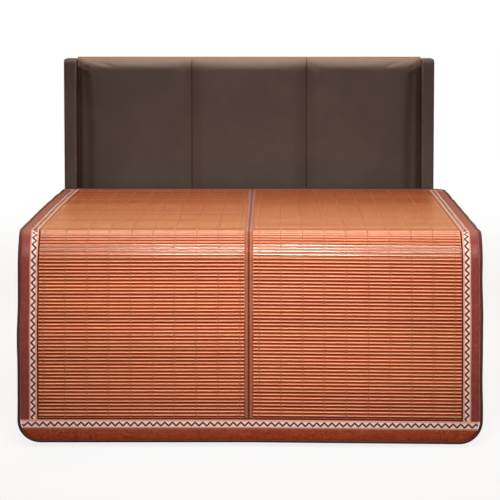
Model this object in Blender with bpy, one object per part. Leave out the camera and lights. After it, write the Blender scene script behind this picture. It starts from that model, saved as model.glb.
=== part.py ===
"""Bamboo sleeping mat laid on a double bed and falling over its foot end.

Metres, +Z up. The foot of the bed faces -Y and the headboard stands at +Y.
A point of the mat has flat coordinates: u across it, s along it from the head
edge to the foot edge, and h above its underside. drape() bends those onto the bed.
"""
import math

import bmesh
import bpy

# Seam between two pieces that touch
SEAM = 0.0003

# Mat, flat sizes
MAT_WIDTH = 1.500
CORNER_RADIUS = 0.075
BINDING_WIDTH = 0.010
SIDE_BORDER_WIDTH = 0.028
SIDE_RIBBON_WIDTH = 0.0255
END_BORDER_WIDTH = 0.036
END_RIBBON_WIDTH = 0.029
PIPING_WIDTH = 0.005
HINGE_STRIP_WIDTH = 0.0135
# The fold lies a little left of the middle, because the left panel is the narrower one
FOLD_U = -0.0055

# Mat, thicknesses
BORDER_THICKNESS = 0.0030
RIBBON_THICKNESS = 0.0034
BINDING_THICKNESS = 0.0046
PIPING_THICKNESS = 0.0044
HINGE_STRIP_THICKNESS = 0.0056
SLAT_THICKNESS = 0.0045
SLAT_GROOVE_FLOOR = 0.0024

# Slats
SLAT_PITCH = 0.01135
SLAT_UPPER_BEVEL = 0.0026
SLAT_LOWER_BEVEL = 0.0016

# Bed
BED_CENTRE_X = -0.020
PLINTH_HEIGHT = 0.060
PLINTH_INSET = 0.090
BASE_TOP = 0.410
BASE_WIDTH = 1.450
BASE_FOOT_INSET = 0.020
BASE_EDGE_RADIUS = 0.014
MATTRESS_WIDTH = 1.450
MATTRESS_LENGTH = 1.900
MATTRESS_TOP = 0.690
MATTRESS_FOOT_RADIUS = 0.082
MATTRESS_EDGE_RADIUS = 0.042
MATTRESS_SIDE_ROUNDING = 0.030

# Headboard
HEADBOARD_WIDTH = 1.455
HEADBOARD_TOP = 1.209
HEADBOARD_GAP = 0.005
WING_WIDTH = 0.048
WING_DEPTH = 0.150
WING_DROP = 0.006
WING_CORNER_RADIUS = 0.020
WING_EDGE_RADIUS = 0.007
PANEL_RECESS = 0.058
PANEL_THICKNESS = 0.052
PANEL_EDGE_RADIUS = 0.024
BACK_DROP = 0.012

# Lie of the mat on the bed
MAT_HEAD_INSET = 0.002
MAT_FOOT_HEIGHT = 0.0155
FLAT_CLEARANCE = 0.0003
BEND_CLEARANCE = 0.0023
CLEARANCE_RAMP = 0.120
LIFT_PEAK = 0.0038
LIFT_ON_TOP = 0.0008

# Places worked out from the sizes above
MAT_STANDOFF = BEND_CLEARANCE + SLAT_THICKNESS + LIFT_PEAK
BED_DEPTH = MATTRESS_LENGTH + HEADBOARD_GAP + WING_DEPTH
FOOT_Y = -(BED_DEPTH - MAT_STANDOFF) / 2
HEAD_Y = FOOT_Y + MATTRESS_LENGTH
WING_FRONT_Y = HEAD_Y + HEADBOARD_GAP
BACK_Y = WING_FRONT_Y + WING_DEPTH
BEND_CENTRE_Y = FOOT_Y + MATTRESS_FOOT_RADIUS
BEND_CENTRE_Z = MATTRESS_TOP - MATTRESS_FOOT_RADIUS
TOP_RUN = HEAD_Y - MAT_HEAD_INSET - BEND_CENTRE_Y
BEND_RUN = MATTRESS_FOOT_RADIUS * math.pi / 2
DROP_RUN = BEND_CENTRE_Z - MAT_FOOT_HEIGHT
MAT_LENGTH = TOP_RUN + BEND_RUN + DROP_RUN
HALF_WIDTH = MAT_WIDTH / 2
BORDER_OUTER = HALF_WIDTH - BINDING_WIDTH
RIBBON_OUTER = BORDER_OUTER - SIDE_BORDER_WIDTH
PIPING_OUTER = RIBBON_OUTER - SIDE_RIBBON_WIDTH
FIELD_OUTER = PIPING_OUTER - PIPING_WIDTH
END_RIBBON_START = BINDING_WIDTH + END_BORDER_WIDTH
END_PIPING_START = END_RIBBON_START + END_RIBBON_WIDTH
FIELD_START = END_PIPING_START + PIPING_WIDTH

# Number of straight pieces along each stretch of a long strip
TOP_STEPS = 18
BEND_STEPS = 9
DROP_STEPS = 12
CORNER_STEPS = 6
END_STEPS_PER_HALF = 6

# Slight unevenness. A slat is stiff, so each quantity is given on three lines that run
# along the mat (left edge, centre fold, right edge) and is straight between them.
# Shift down the mat, metres
SLIDE_AT_LINES = (0.0, -0.0006, 0.0055)
# Lift off the bed: wavelength in metres and phase in radians of one soft wave a line
LIFT_WAVES = ((0.36, 0.5), (0.47, 2.1), (0.41, 3.4))
# Sideways waver of the soft border: wavelength, phase and height of each wave
WAVER_WAVES = ((0.31, 0.7, 0.0008), (0.17, 2.0, 0.0004))


def clear_scene():
    """Remove every object that the open scene holds."""
    for old in list(bpy.data.objects):
        bpy.data.objects.remove(old, do_unlink=True)


def make_material(name, color, roughness):
    """Return a Principled material of one colour."""
    material = bpy.data.materials.new(name)
    material.use_nodes = True
    shader = material.node_tree.nodes["Principled BSDF"]
    shader.inputs["Base Color"].default_value = (*color, 1.0)
    shader.inputs["Roughness"].default_value = roughness
    shader.inputs["Metallic"].default_value = 0.0
    return material


def finish_object(name, mesh_builder, material, smooth_angle=30.0):
    """Turn a bmesh into a named object with faces pointing outwards."""
    bmesh.ops.recalc_face_normals(mesh_builder, faces=mesh_builder.faces)
    mesh = bpy.data.meshes.new(name)
    mesh_builder.to_mesh(mesh)
    mesh_builder.free()
    mesh.shade_smooth()
    mesh.set_sharp_from_angle(angle=math.radians(smooth_angle))
    mesh.materials.append(material)
    item = bpy.data.objects.new(name, mesh)
    bpy.context.scene.collection.objects.link(item)
    return item


def ease(value, low, high):
    """Return 0 below low, 1 above high and a smooth rise between."""
    t = min(max((value - low) / (high - low), 0.0), 1.0)
    return t * t * (3.0 - 2.0 * t)


def between_lines(u, values):
    """Return a quantity at u, straight between the left, centre and right lines."""
    left, centre, right = values
    if u < FOLD_U:
        return centre + (left - centre) * (FOLD_U - u) / (HALF_WIDTH + FOLD_U)
    return centre + (right - centre) * (u - FOLD_U) / (HALF_WIDTH - FOLD_U)


def lift(u, s):
    """Return how far the mat stands off its even lie at one point."""
    waves = []
    for wavelength, phase in LIFT_WAVES:
        waves.append(0.5 + 0.5 * math.sin(2.0 * math.pi * s / wavelength + phase))
    hanging = ease(s, TOP_RUN - CLEARANCE_RAMP, TOP_RUN + CLEARANCE_RAMP)
    height = LIFT_ON_TOP + (LIFT_PEAK - LIFT_ON_TOP) * hanging
    return height * between_lines(u, waves)


def waver(u, s):
    """Return the sideways waver of the soft border, which the stiff slats don't share."""
    reach = ease(abs(u), PIPING_OUTER, HALF_WIDTH)
    side = math.copysign(1.0, u)
    total = 0.0
    for wavelength, phase, height in WAVER_WAVES:
        total += height * math.sin(2.0 * math.pi * s / wavelength + phase * (2.0 + side))
    return side * reach * total


def drape(u, s, h):
    """Return the place in space of a point of the mat given in flat coordinates."""
    along = s + between_lines(u, SLIDE_AT_LINES)
    ramp = ease(along, TOP_RUN - CLEARANCE_RAMP, TOP_RUN)
    clearance = FLAT_CLEARANCE + (BEND_CLEARANCE - FLAT_CLEARANCE) * ramp
    out = clearance + lift(u, along) + h
    x = u + waver(u, along)
    if along <= TOP_RUN:
        return (x, HEAD_Y - MAT_HEAD_INSET - along, MATTRESS_TOP + out)
    if along <= TOP_RUN + BEND_RUN:
        angle = (along - TOP_RUN) / MATTRESS_FOOT_RADIUS
        reach = MATTRESS_FOOT_RADIUS + out
        y = BEND_CENTRE_Y - reach * math.sin(angle)
        z = BEND_CENTRE_Z + reach * math.cos(angle)
        return (x, y, z)
    return (x, FOOT_Y - out, BEND_CENTRE_Z - (along - TOP_RUN - BEND_RUN))


def long_stations(start, end):
    """Return places along the mat, close together where it bends."""
    knots = [TOP_RUN * i / TOP_STEPS for i in range(TOP_STEPS)]
    knots += [TOP_RUN + BEND_RUN * i / BEND_STEPS for i in range(BEND_STEPS)]
    drop_start = TOP_RUN + BEND_RUN
    knots += [drop_start + DROP_RUN * i / DROP_STEPS for i in range(DROP_STEPS)]
    margin = BINDING_WIDTH
    inner = [s for s in knots if start + margin < s < end - margin]
    return [start] + inner + [end]


def cross_stations(half_length, fold=FOLD_U):
    """Return places across the mat from -half_length to half_length, with one at the fold."""
    count = END_STEPS_PER_HALF
    left = [fold - (half_length + fold) * i / count for i in range(count, 0, -1)]
    right = [fold + (half_length - fold) * i / count for i in range(count + 1)]
    return left + right


def flat_section(thickness):
    """Return the ring of a plain flat strip as pairs of share across and height."""
    return ((0.0, 0.0), (0.0, thickness), (1.0, thickness), (1.0, 0.0))


def soft_section(thickness, shoulder):
    """Return the ring of a strip whose top is rounded down at both edges."""
    side = thickness * 0.72
    return (
        (0.0, 0.0),
        (0.0, side),
        (shoulder, thickness),
        (1.0 - shoulder, thickness),
        (1.0, side),
        (1.0, 0.0),
    )


def crowned_section(thickness):
    """Return the ring of a narrow round-topped strip."""
    return (
        (0.0, 0.0),
        (0.0, thickness * 0.55),
        (0.28, thickness * 0.94),
        (0.72, thickness * 0.94),
        (1.0, thickness * 0.55),
        (1.0, 0.0),
    )


def sew_strip(name, inner_edge, outer_edge, section, material, closed=False):
    """Loft a section between two edges given in flat coordinates, then drape it."""
    builder = bmesh.new()
    rings = []
    for (u0, s0), (u1, s1) in zip(inner_edge, outer_edge):
        ring = []
        for share, height in section:
            u = u0 + (u1 - u0) * share
            s = s0 + (s1 - s0) * share
            ring.append(builder.verts.new(drape(u, s, height)))
        rings.append(ring)
    count = len(section)
    following = rings[1:] + rings[:1] if closed else rings[1:]
    for ring, after in zip(rings, following):
        for i in range(count):
            j = (i + 1) % count
            builder.faces.new((ring[i], ring[j], after[j], after[i]))
    if not closed:
        builder.faces.new(rings[0])
        builder.faces.new(rings[-1])
    return finish_object(name, builder, material)


def side_strip(name, inner_u, outer_u, end_margin, section, material):
    """Make one strip that runs along the mat between two lines of constant u."""
    stations = long_stations(end_margin, MAT_LENGTH - end_margin)
    inner_edge = [(inner_u, s) for s in stations]
    outer_edge = [(outer_u, s) for s in stations]
    return sew_strip(name, inner_edge, outer_edge, section, material)


def from_end(distance, at_foot):
    """Return s at a distance from the foot edge or from the head edge."""
    return MAT_LENGTH - distance if at_foot else distance


def corner_half_width(distance, radius):
    """Return half the width inside a rounded corner at a distance from the mat's end."""
    rise = CORNER_RADIUS - distance
    return HALF_WIDTH - CORNER_RADIUS + math.sqrt(max(radius * radius - rise * rise, 0.0))


def corner_angles():
    """Return the angles of the straight pieces that make one rounded corner."""
    return [math.pi / 2 * i / CORNER_STEPS for i in range(CORNER_STEPS + 1)]


def make_slat_field(name, start_u, end_u, material):
    """Make one panel of slats: a sheet whose top rises in one rib for each slat."""
    start = FIELD_START + SEAM / 2
    end = MAT_LENGTH - FIELD_START - SEAM / 2
    count = round((end - start) / SLAT_PITCH)
    pitch = (end - start) / count
    profile = [(s, 0.0) for s in reversed(long_stations(start, end))]
    profile.append((start, SLAT_GROOVE_FLOOR))
    for i in range(count):
        foot = start + i * pitch
        profile.append((foot + SLAT_UPPER_BEVEL, SLAT_THICKNESS))
        profile.append((foot + pitch - SLAT_LOWER_BEVEL, SLAT_THICKNESS))
        profile.append((foot + pitch, SLAT_GROOVE_FLOOR))
    builder = bmesh.new()
    ends = []
    for u in (start_u, end_u):
        ends.append([builder.verts.new(drape(u, s, h)) for s, h in profile])
    total = len(profile)
    for i in range(total):
        j = (i + 1) % total
        builder.faces.new((ends[0][i], ends[0][j], ends[1][j], ends[1][i]))
    builder.faces.new(ends[0])
    builder.faces.new(ends[1])
    return finish_object(name, builder, material, smooth_angle=12.0)


def make_end_strips(at_foot, materials):
    """Make the piping, ribbon and border that run across one end of the mat."""
    end_name = "foot" if at_foot else "head"
    half_seam = SEAM / 2

    reach = PIPING_OUTER - PIPING_WIDTH - SEAM
    cross = cross_stations(reach)
    near = [(u, from_end(FIELD_START - half_seam, at_foot)) for u in cross]
    far = [(u, from_end(END_PIPING_START + half_seam, at_foot)) for u in cross]
    section = crowned_section(PIPING_THICKNESS)
    sew_strip(f"piping_{end_name}", near, far, section, materials["piping"])

    inner_radius = CORNER_RADIUS - BINDING_WIDTH - 2 * SEAM
    near_distance = END_PIPING_START - half_seam
    far_distance = END_RIBBON_START + half_seam
    near_half = corner_half_width(near_distance, inner_radius)
    far_half = corner_half_width(far_distance, inner_radius)
    shares = cross_stations(1.0, FOLD_U / HALF_WIDTH)
    near = [(near_half * t, from_end(near_distance, at_foot)) for t in shares]
    far = [(far_half * t, from_end(far_distance, at_foot)) for t in shares]
    section = flat_section(RIBBON_THICKNESS)
    sew_strip(f"ribbon_{end_name}", near, far, section, materials["ribbon"])

    near_distance = END_RIBBON_START - half_seam
    inner_radius = CORNER_RADIUS - BINDING_WIDTH - SEAM
    corner_u = HALF_WIDTH - CORNER_RADIUS
    near = []
    far = []
    for angle in reversed(corner_angles()):
        u = corner_u + inner_radius * math.sin(angle)
        distance = CORNER_RADIUS - inner_radius * math.cos(angle)
        if distance < near_distance - SEAM:
            near.append((u, from_end(near_distance, at_foot)))
            far.append((u, from_end(distance, at_foot)))
    middle = cross_stations(corner_u)[-2:0:-1]
    far_distance = BINDING_WIDTH + SEAM
    near_middle = [(u, from_end(near_distance, at_foot)) for u in middle]
    far_middle = [(u, from_end(far_distance, at_foot)) for u in middle]
    near = near + near_middle + [(-u, s) for u, s in reversed(near)]
    far = far + far_middle + [(-u, s) for u, s in reversed(far)]
    section = soft_section(BORDER_THICKNESS, 0.12)
    sew_strip(f"border_{end_name}", near, far, section, materials["border"])


def outline_point(corner_u, s_centre, side, direction, angle, radius):
    """Return a point on one rounded corner of the mat's outline."""
    u = side * (corner_u + radius * math.sin(angle))
    s = s_centre + direction * radius * math.cos(angle)
    return (u, s)


def make_edge_binding(material):
    """Make the rolled binding as one closed ring round the mat."""
    inner_radius = CORNER_RADIUS - BINDING_WIDTH
    corner_u = HALF_WIDTH - CORNER_RADIUS
    straight = long_stations(CORNER_RADIUS, MAT_LENGTH - CORNER_RADIUS)[1:-1]
    cross = cross_stations(corner_u)[1:-1]
    foot_s = MAT_LENGTH - CORNER_RADIUS
    head_s = CORNER_RADIUS
    edges = []
    for radius, half, margin in (
        (inner_radius, BORDER_OUTER, BINDING_WIDTH),
        (CORNER_RADIUS, HALF_WIDTH, 0.0),
    ):
        points = [(half, s) for s in straight]
        for angle in reversed(corner_angles()):
            points.append(outline_point(corner_u, foot_s, 1, 1, angle, radius))
        points += [(u, MAT_LENGTH - margin) for u in reversed(cross)]
        for angle in corner_angles():
            points.append(outline_point(corner_u, foot_s, -1, 1, angle, radius))
        points += [(-half, s) for s in reversed(straight)]
        for angle in reversed(corner_angles()):
            points.append(outline_point(corner_u, head_s, -1, -1, angle, radius))
        points += [(u, margin) for u in cross]
        for angle in corner_angles():
            points.append(outline_point(corner_u, head_s, 1, -1, angle, radius))
        edges.append(points)
    section = crowned_section(BINDING_THICKNESS)
    return sew_strip("edge_binding", edges[0], edges[1], section, material, closed=True)


def make_mat(materials):
    """Make every piece of the mat."""
    half_seam = SEAM / 2
    strip_outer = HINGE_STRIP_WIDTH + half_seam
    side_end = END_PIPING_START + half_seam
    for side, side_name in ((-1, "left"), (1, "right")):
        make_slat_field(
            f"slat_field_{side_name}",
            FOLD_U + side * (strip_outer + SEAM),
            side * (FIELD_OUTER - half_seam),
            materials["bamboo"],
        )
        side_strip(
            f"hinge_strip_{side_name}",
            FOLD_U + side * half_seam,
            FOLD_U + side * strip_outer,
            FIELD_START + half_seam,
            crowned_section(HINGE_STRIP_THICKNESS),
            materials["hinge"],
        )
        side_strip(
            f"piping_{side_name}",
            side * (FIELD_OUTER + half_seam),
            side * (PIPING_OUTER - half_seam),
            side_end,
            crowned_section(PIPING_THICKNESS),
            materials["piping"],
        )
        side_strip(
            f"ribbon_{side_name}",
            side * (PIPING_OUTER + half_seam),
            side * (RIBBON_OUTER - half_seam),
            side_end,
            flat_section(RIBBON_THICKNESS),
            materials["ribbon"],
        )
        side_strip(
            f"border_{side_name}",
            side * (RIBBON_OUTER + half_seam),
            side * (BORDER_OUTER - SEAM),
            side_end,
            soft_section(BORDER_THICKNESS, 0.16),
            materials["border"],
        )
    make_end_strips(True, materials)
    make_end_strips(False, materials)
    make_edge_binding(materials["piping"])


def add_arc(points, centre, radius, start_degrees, steps):
    """Add a quarter circle, turning towards larger angles, to a list of points."""
    for i in range(steps + 1):
        angle = math.radians(start_degrees + 90.0 * i / steps)
        y = centre[0] + radius * math.cos(angle)
        z = centre[1] + radius * math.sin(angle)
        points.append((y, z))


def extrude_profile(name, profile, low_x, high_x, material):
    """Extrude a closed outline in y and z along x."""
    builder = bmesh.new()
    low = [builder.verts.new((low_x, y, z)) for y, z in profile]
    high = [builder.verts.new((high_x, y, z)) for y, z in profile]
    count = len(profile)
    for i in range(count):
        j = (i + 1) % count
        builder.faces.new((low[i], low[j], high[j], high[i]))
    builder.faces.new(low)
    builder.faces.new(high)
    return finish_object(name, builder, material)


def round_edges(item, radius, segments, angle_degrees=50.0):
    """Round the sharp edges of an object with a Bevel modifier."""
    bevel = item.modifiers.new("edge_rounding", "BEVEL")
    bevel.width = radius
    bevel.segments = segments
    bevel.limit_method = "ANGLE"
    bevel.angle_limit = math.radians(angle_degrees)
    return item


def box(name, low, high, material):
    """Make a plain box from its lowest and highest corners."""
    profile = ((low[1], low[2]), (high[1], low[2]), (high[1], high[2]), (low[1], high[2]))
    return extrude_profile(name, profile, low[0], high[0], material)


def make_mattress(material):
    """Make the mattress, with a large rounding where the mat turns down at the foot."""
    bottom = BASE_TOP + SEAM
    edge = MATTRESS_EDGE_RADIUS
    foot = MATTRESS_FOOT_RADIUS
    profile = []
    add_arc(profile, (HEAD_Y - edge, MATTRESS_TOP - edge), edge, 0.0, 4)
    add_arc(profile, (BEND_CENTRE_Y, BEND_CENTRE_Z), foot, 90.0, 8)
    add_arc(profile, (FOOT_Y + edge, bottom + edge), edge, 180.0, 4)
    add_arc(profile, (HEAD_Y - edge, bottom + edge), edge, 270.0, 4)
    half = MATTRESS_WIDTH / 2
    item = extrude_profile("mattress", profile, BED_CENTRE_X - half, BED_CENTRE_X + half, material)
    return round_edges(item, MATTRESS_SIDE_ROUNDING, 3)


def make_base(materials):
    """Make the upholstered base and the plinth that it stands on."""
    half = BASE_WIDTH / 2
    base_foot = FOOT_Y + BASE_FOOT_INSET
    base_head = WING_FRONT_Y - SEAM
    low = (BED_CENTRE_X - half, base_foot, PLINTH_HEIGHT + SEAM)
    high = (BED_CENTRE_X + half, base_head, BASE_TOP)
    round_edges(box("bed_base", low, high, materials["leather"]), BASE_EDGE_RADIUS, 2)
    half -= PLINTH_INSET
    low = (BED_CENTRE_X - half, base_foot + PLINTH_INSET, 0.0)
    high = (BED_CENTRE_X + half, base_head - PLINTH_INSET, PLINTH_HEIGHT)
    box("plinth", low, high, materials["plinth"])


def make_headboard(materials):
    """Make the headboard: three padded panels on a back board between two wings."""
    half = HEADBOARD_WIDTH / 2
    leather = materials["leather"]
    wing_top = HEADBOARD_TOP - WING_DROP
    corner = WING_CORNER_RADIUS
    for side, side_name in ((-1, "left"), (1, "right")):
        profile = [(BACK_Y, 0.0), (BACK_Y, wing_top)]
        add_arc(profile, (WING_FRONT_Y + corner, wing_top - corner), corner, 90.0, 4)
        profile.append((WING_FRONT_Y, 0.0))
        inner = BED_CENTRE_X + side * (half - WING_WIDTH)
        outer = BED_CENTRE_X + side * half
        wing = extrude_profile(
            f"headboard_wing_{side_name}", profile, min(inner, outer), max(inner, outer), leather
        )
        round_edges(wing, WING_EDGE_RADIUS, 2)

    inner_half = half - WING_WIDTH - SEAM
    panel_front = WING_FRONT_Y + PANEL_RECESS
    panel_back = panel_front + PANEL_THICKNESS
    low = (BED_CENTRE_X - inner_half, panel_back + SEAM, 0.0)
    high = (BED_CENTRE_X + inner_half, BACK_Y, HEADBOARD_TOP - BACK_DROP)
    box("headboard_back", low, high, materials["plinth"])

    panel_width = 2 * inner_half / 3
    for i, place in enumerate(("left", "centre", "right")):
        start = BED_CENTRE_X - inner_half + i * panel_width
        low = (start + SEAM / 2, panel_front, PLINTH_HEIGHT)
        high = (start + panel_width - SEAM / 2, panel_back, HEADBOARD_TOP)
        panel = box(f"headboard_panel_{place}", low, high, leather)
        round_edges(panel, PANEL_EDGE_RADIUS, 3)


def main():
    """Build the mat and its bed."""
    clear_scene()
    materials = {
        "bamboo": make_material("bamboo", (0.52, 0.16, 0.045), 0.32),
        "hinge": make_material("hinge_cloth", (0.34, 0.14, 0.085), 0.62),
        "piping": make_material("dark_binding", (0.045, 0.016, 0.010), 0.60),
        "ribbon": make_material("zigzag_ribbon", (0.78, 0.55, 0.47), 0.70),
        "border": make_material("brocade", (0.22, 0.065, 0.050), 0.50),
        "mattress": make_material("mattress_cloth", (0.78, 0.74, 0.67), 0.85),
        "leather": make_material("leather", (0.070, 0.045, 0.036), 0.42),
        "plinth": make_material("dark_board", (0.022, 0.016, 0.013), 0.55),
    }
    make_mat(materials)
    make_mattress(materials["mattress"])
    make_base(materials)
    make_headboard(materials)


main()
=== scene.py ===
"""Looks of a bamboo sleeping mat draped over a bed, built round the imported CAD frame.

Metres, +Z up. The foot of the bed faces -Y and the headboard stands at +Y. A point of
the mat has flat coordinates: u across it, s along it from the head edge to the foot
edge, and h above its underside. MatLie.place() bends those onto the bed.
"""

import logging
import math
from dataclasses import dataclass, field
from enum import Enum
from typing import Callable, Sequence, Union

import bpy
import numpy as np
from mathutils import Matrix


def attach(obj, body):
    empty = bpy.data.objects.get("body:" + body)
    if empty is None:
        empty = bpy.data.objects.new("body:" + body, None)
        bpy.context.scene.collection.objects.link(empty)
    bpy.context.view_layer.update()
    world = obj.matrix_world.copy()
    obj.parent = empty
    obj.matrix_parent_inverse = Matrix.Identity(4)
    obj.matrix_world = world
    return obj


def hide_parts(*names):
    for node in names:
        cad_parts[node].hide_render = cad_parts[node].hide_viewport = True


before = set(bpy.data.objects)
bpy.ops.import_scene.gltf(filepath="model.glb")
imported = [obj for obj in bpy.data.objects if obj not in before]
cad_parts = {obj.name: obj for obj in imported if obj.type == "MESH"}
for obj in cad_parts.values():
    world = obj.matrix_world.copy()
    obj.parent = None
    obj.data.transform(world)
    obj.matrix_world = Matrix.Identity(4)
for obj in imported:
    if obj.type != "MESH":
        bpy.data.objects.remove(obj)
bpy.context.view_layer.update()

BODY = "root"
MATTRESS_COVER = "mattress_ticking"
MM = 0.001
TURN = 2.0 * math.pi
ROUND_DEGREES = 60.0  # rounded trim is shaded smooth over edges that turn less

Array = np.ndarray
Color = tuple[float, float, float, float]
Piece = bpy.types.Object
Point = Sequence[float]
Scalar = Union["Wire", float]

logging.basicConfig(level=logging.INFO, format="%(message)s")
LOG = logging.getLogger("bamboo_mat")


class Side(Enum):
    """The two sides of the bed, as seen from its foot."""

    LEFT = -1
    RIGHT = 1

    @property
    def word(self) -> str:
        """The side's name as piece names use it."""
        return self.name.lower()


class End(Enum):
    """The two ends of the mat."""

    HEAD = "head"
    FOOT = "foot"


class Slot(Enum):
    """The record's material slots."""

    BAMBOO = "bamboo"
    HINGE = "hinge_cloth"
    BINDING = "dark_binding"
    RIBBON = "zigzag_ribbon"
    BROCADE = "brocade"
    MATTRESS = "mattress_cloth"
    LEATHER = "leather"
    BOARD = "dark_board"


def paint(red: int, green: int, blue: int) -> Color:
    """Turn a screen colour into the linear one that shaders take.

    Each channel c of 0 to 255 becomes ((c / 255 + 0.055) / 1.055) to the power 2.4.

    Args:
        red: Red, 0 to 255.
        green: Green, 0 to 255.
        blue: Blue, 0 to 255.

    Returns:
        The linear colour with full alpha.
    """
    linear = [((c / 255.0 + 0.055) / 1.055) ** 2.4 for c in (red, green, blue)]
    return (linear[0], linear[1], linear[2], 1.0)


# Shader maths


class Wire:
    """An output socket that takes part in Python arithmetic by adding Math nodes."""

    def __init__(self, graph: "Graph", socket: bpy.types.NodeSocket) -> None:
        """Keep the socket and the graph that new nodes go into."""
        self.graph = graph
        self.socket = socket

    def math(self, operation: str, *terms: Scalar) -> "Wire":
        """Add one Math node over some terms.

        Args:
            operation: The Math node's operation.
            terms: Wires or numbers, in the order of the node's inputs.

        Returns:
            The node's result.
        """
        settings = {"operation": operation}
        return self.graph.wire("ShaderNodeMath", 0, settings, dict(enumerate(terms)))

    def __add__(self, other: Scalar) -> "Wire":
        """self + other."""
        return self.math("ADD", self, other)

    def __radd__(self, other: Scalar) -> "Wire":
        """other + self."""
        return self.math("ADD", other, self)

    def __sub__(self, other: Scalar) -> "Wire":
        """self - other."""
        return self.math("SUBTRACT", self, other)

    def __rsub__(self, other: Scalar) -> "Wire":
        """other - self."""
        return self.math("SUBTRACT", other, self)

    def __mul__(self, other: Scalar) -> "Wire":
        """self * other."""
        return self.math("MULTIPLY", self, other)

    def __rmul__(self, other: Scalar) -> "Wire":
        """other * self."""
        return self.math("MULTIPLY", other, self)

    def __abs__(self) -> "Wire":
        """The size of self without its sign."""
        return self.math("ABSOLUTE", self)

    def larger(self, other: Scalar) -> "Wire":
        """The larger of self and other."""
        return self.math("MAXIMUM", self, other)

    def ripple(self, period: float) -> "Wire":
        """A sine of self with that period, between 0 and 1."""
        return self.math("SINE", self * (TURN / period)) * 0.5 + 0.5

    def rise(self, low: float, high: float) -> "Wire":
        """A smooth step: 0 where self is below low and 1 where it is above high."""
        settings = {"interpolation_type": "SMOOTHSTEP"}
        inputs = {"Value": self, "From Min": low, "From Max": high}
        return self.graph.wire("ShaderNodeMapRange", "Result", settings, inputs)


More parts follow.
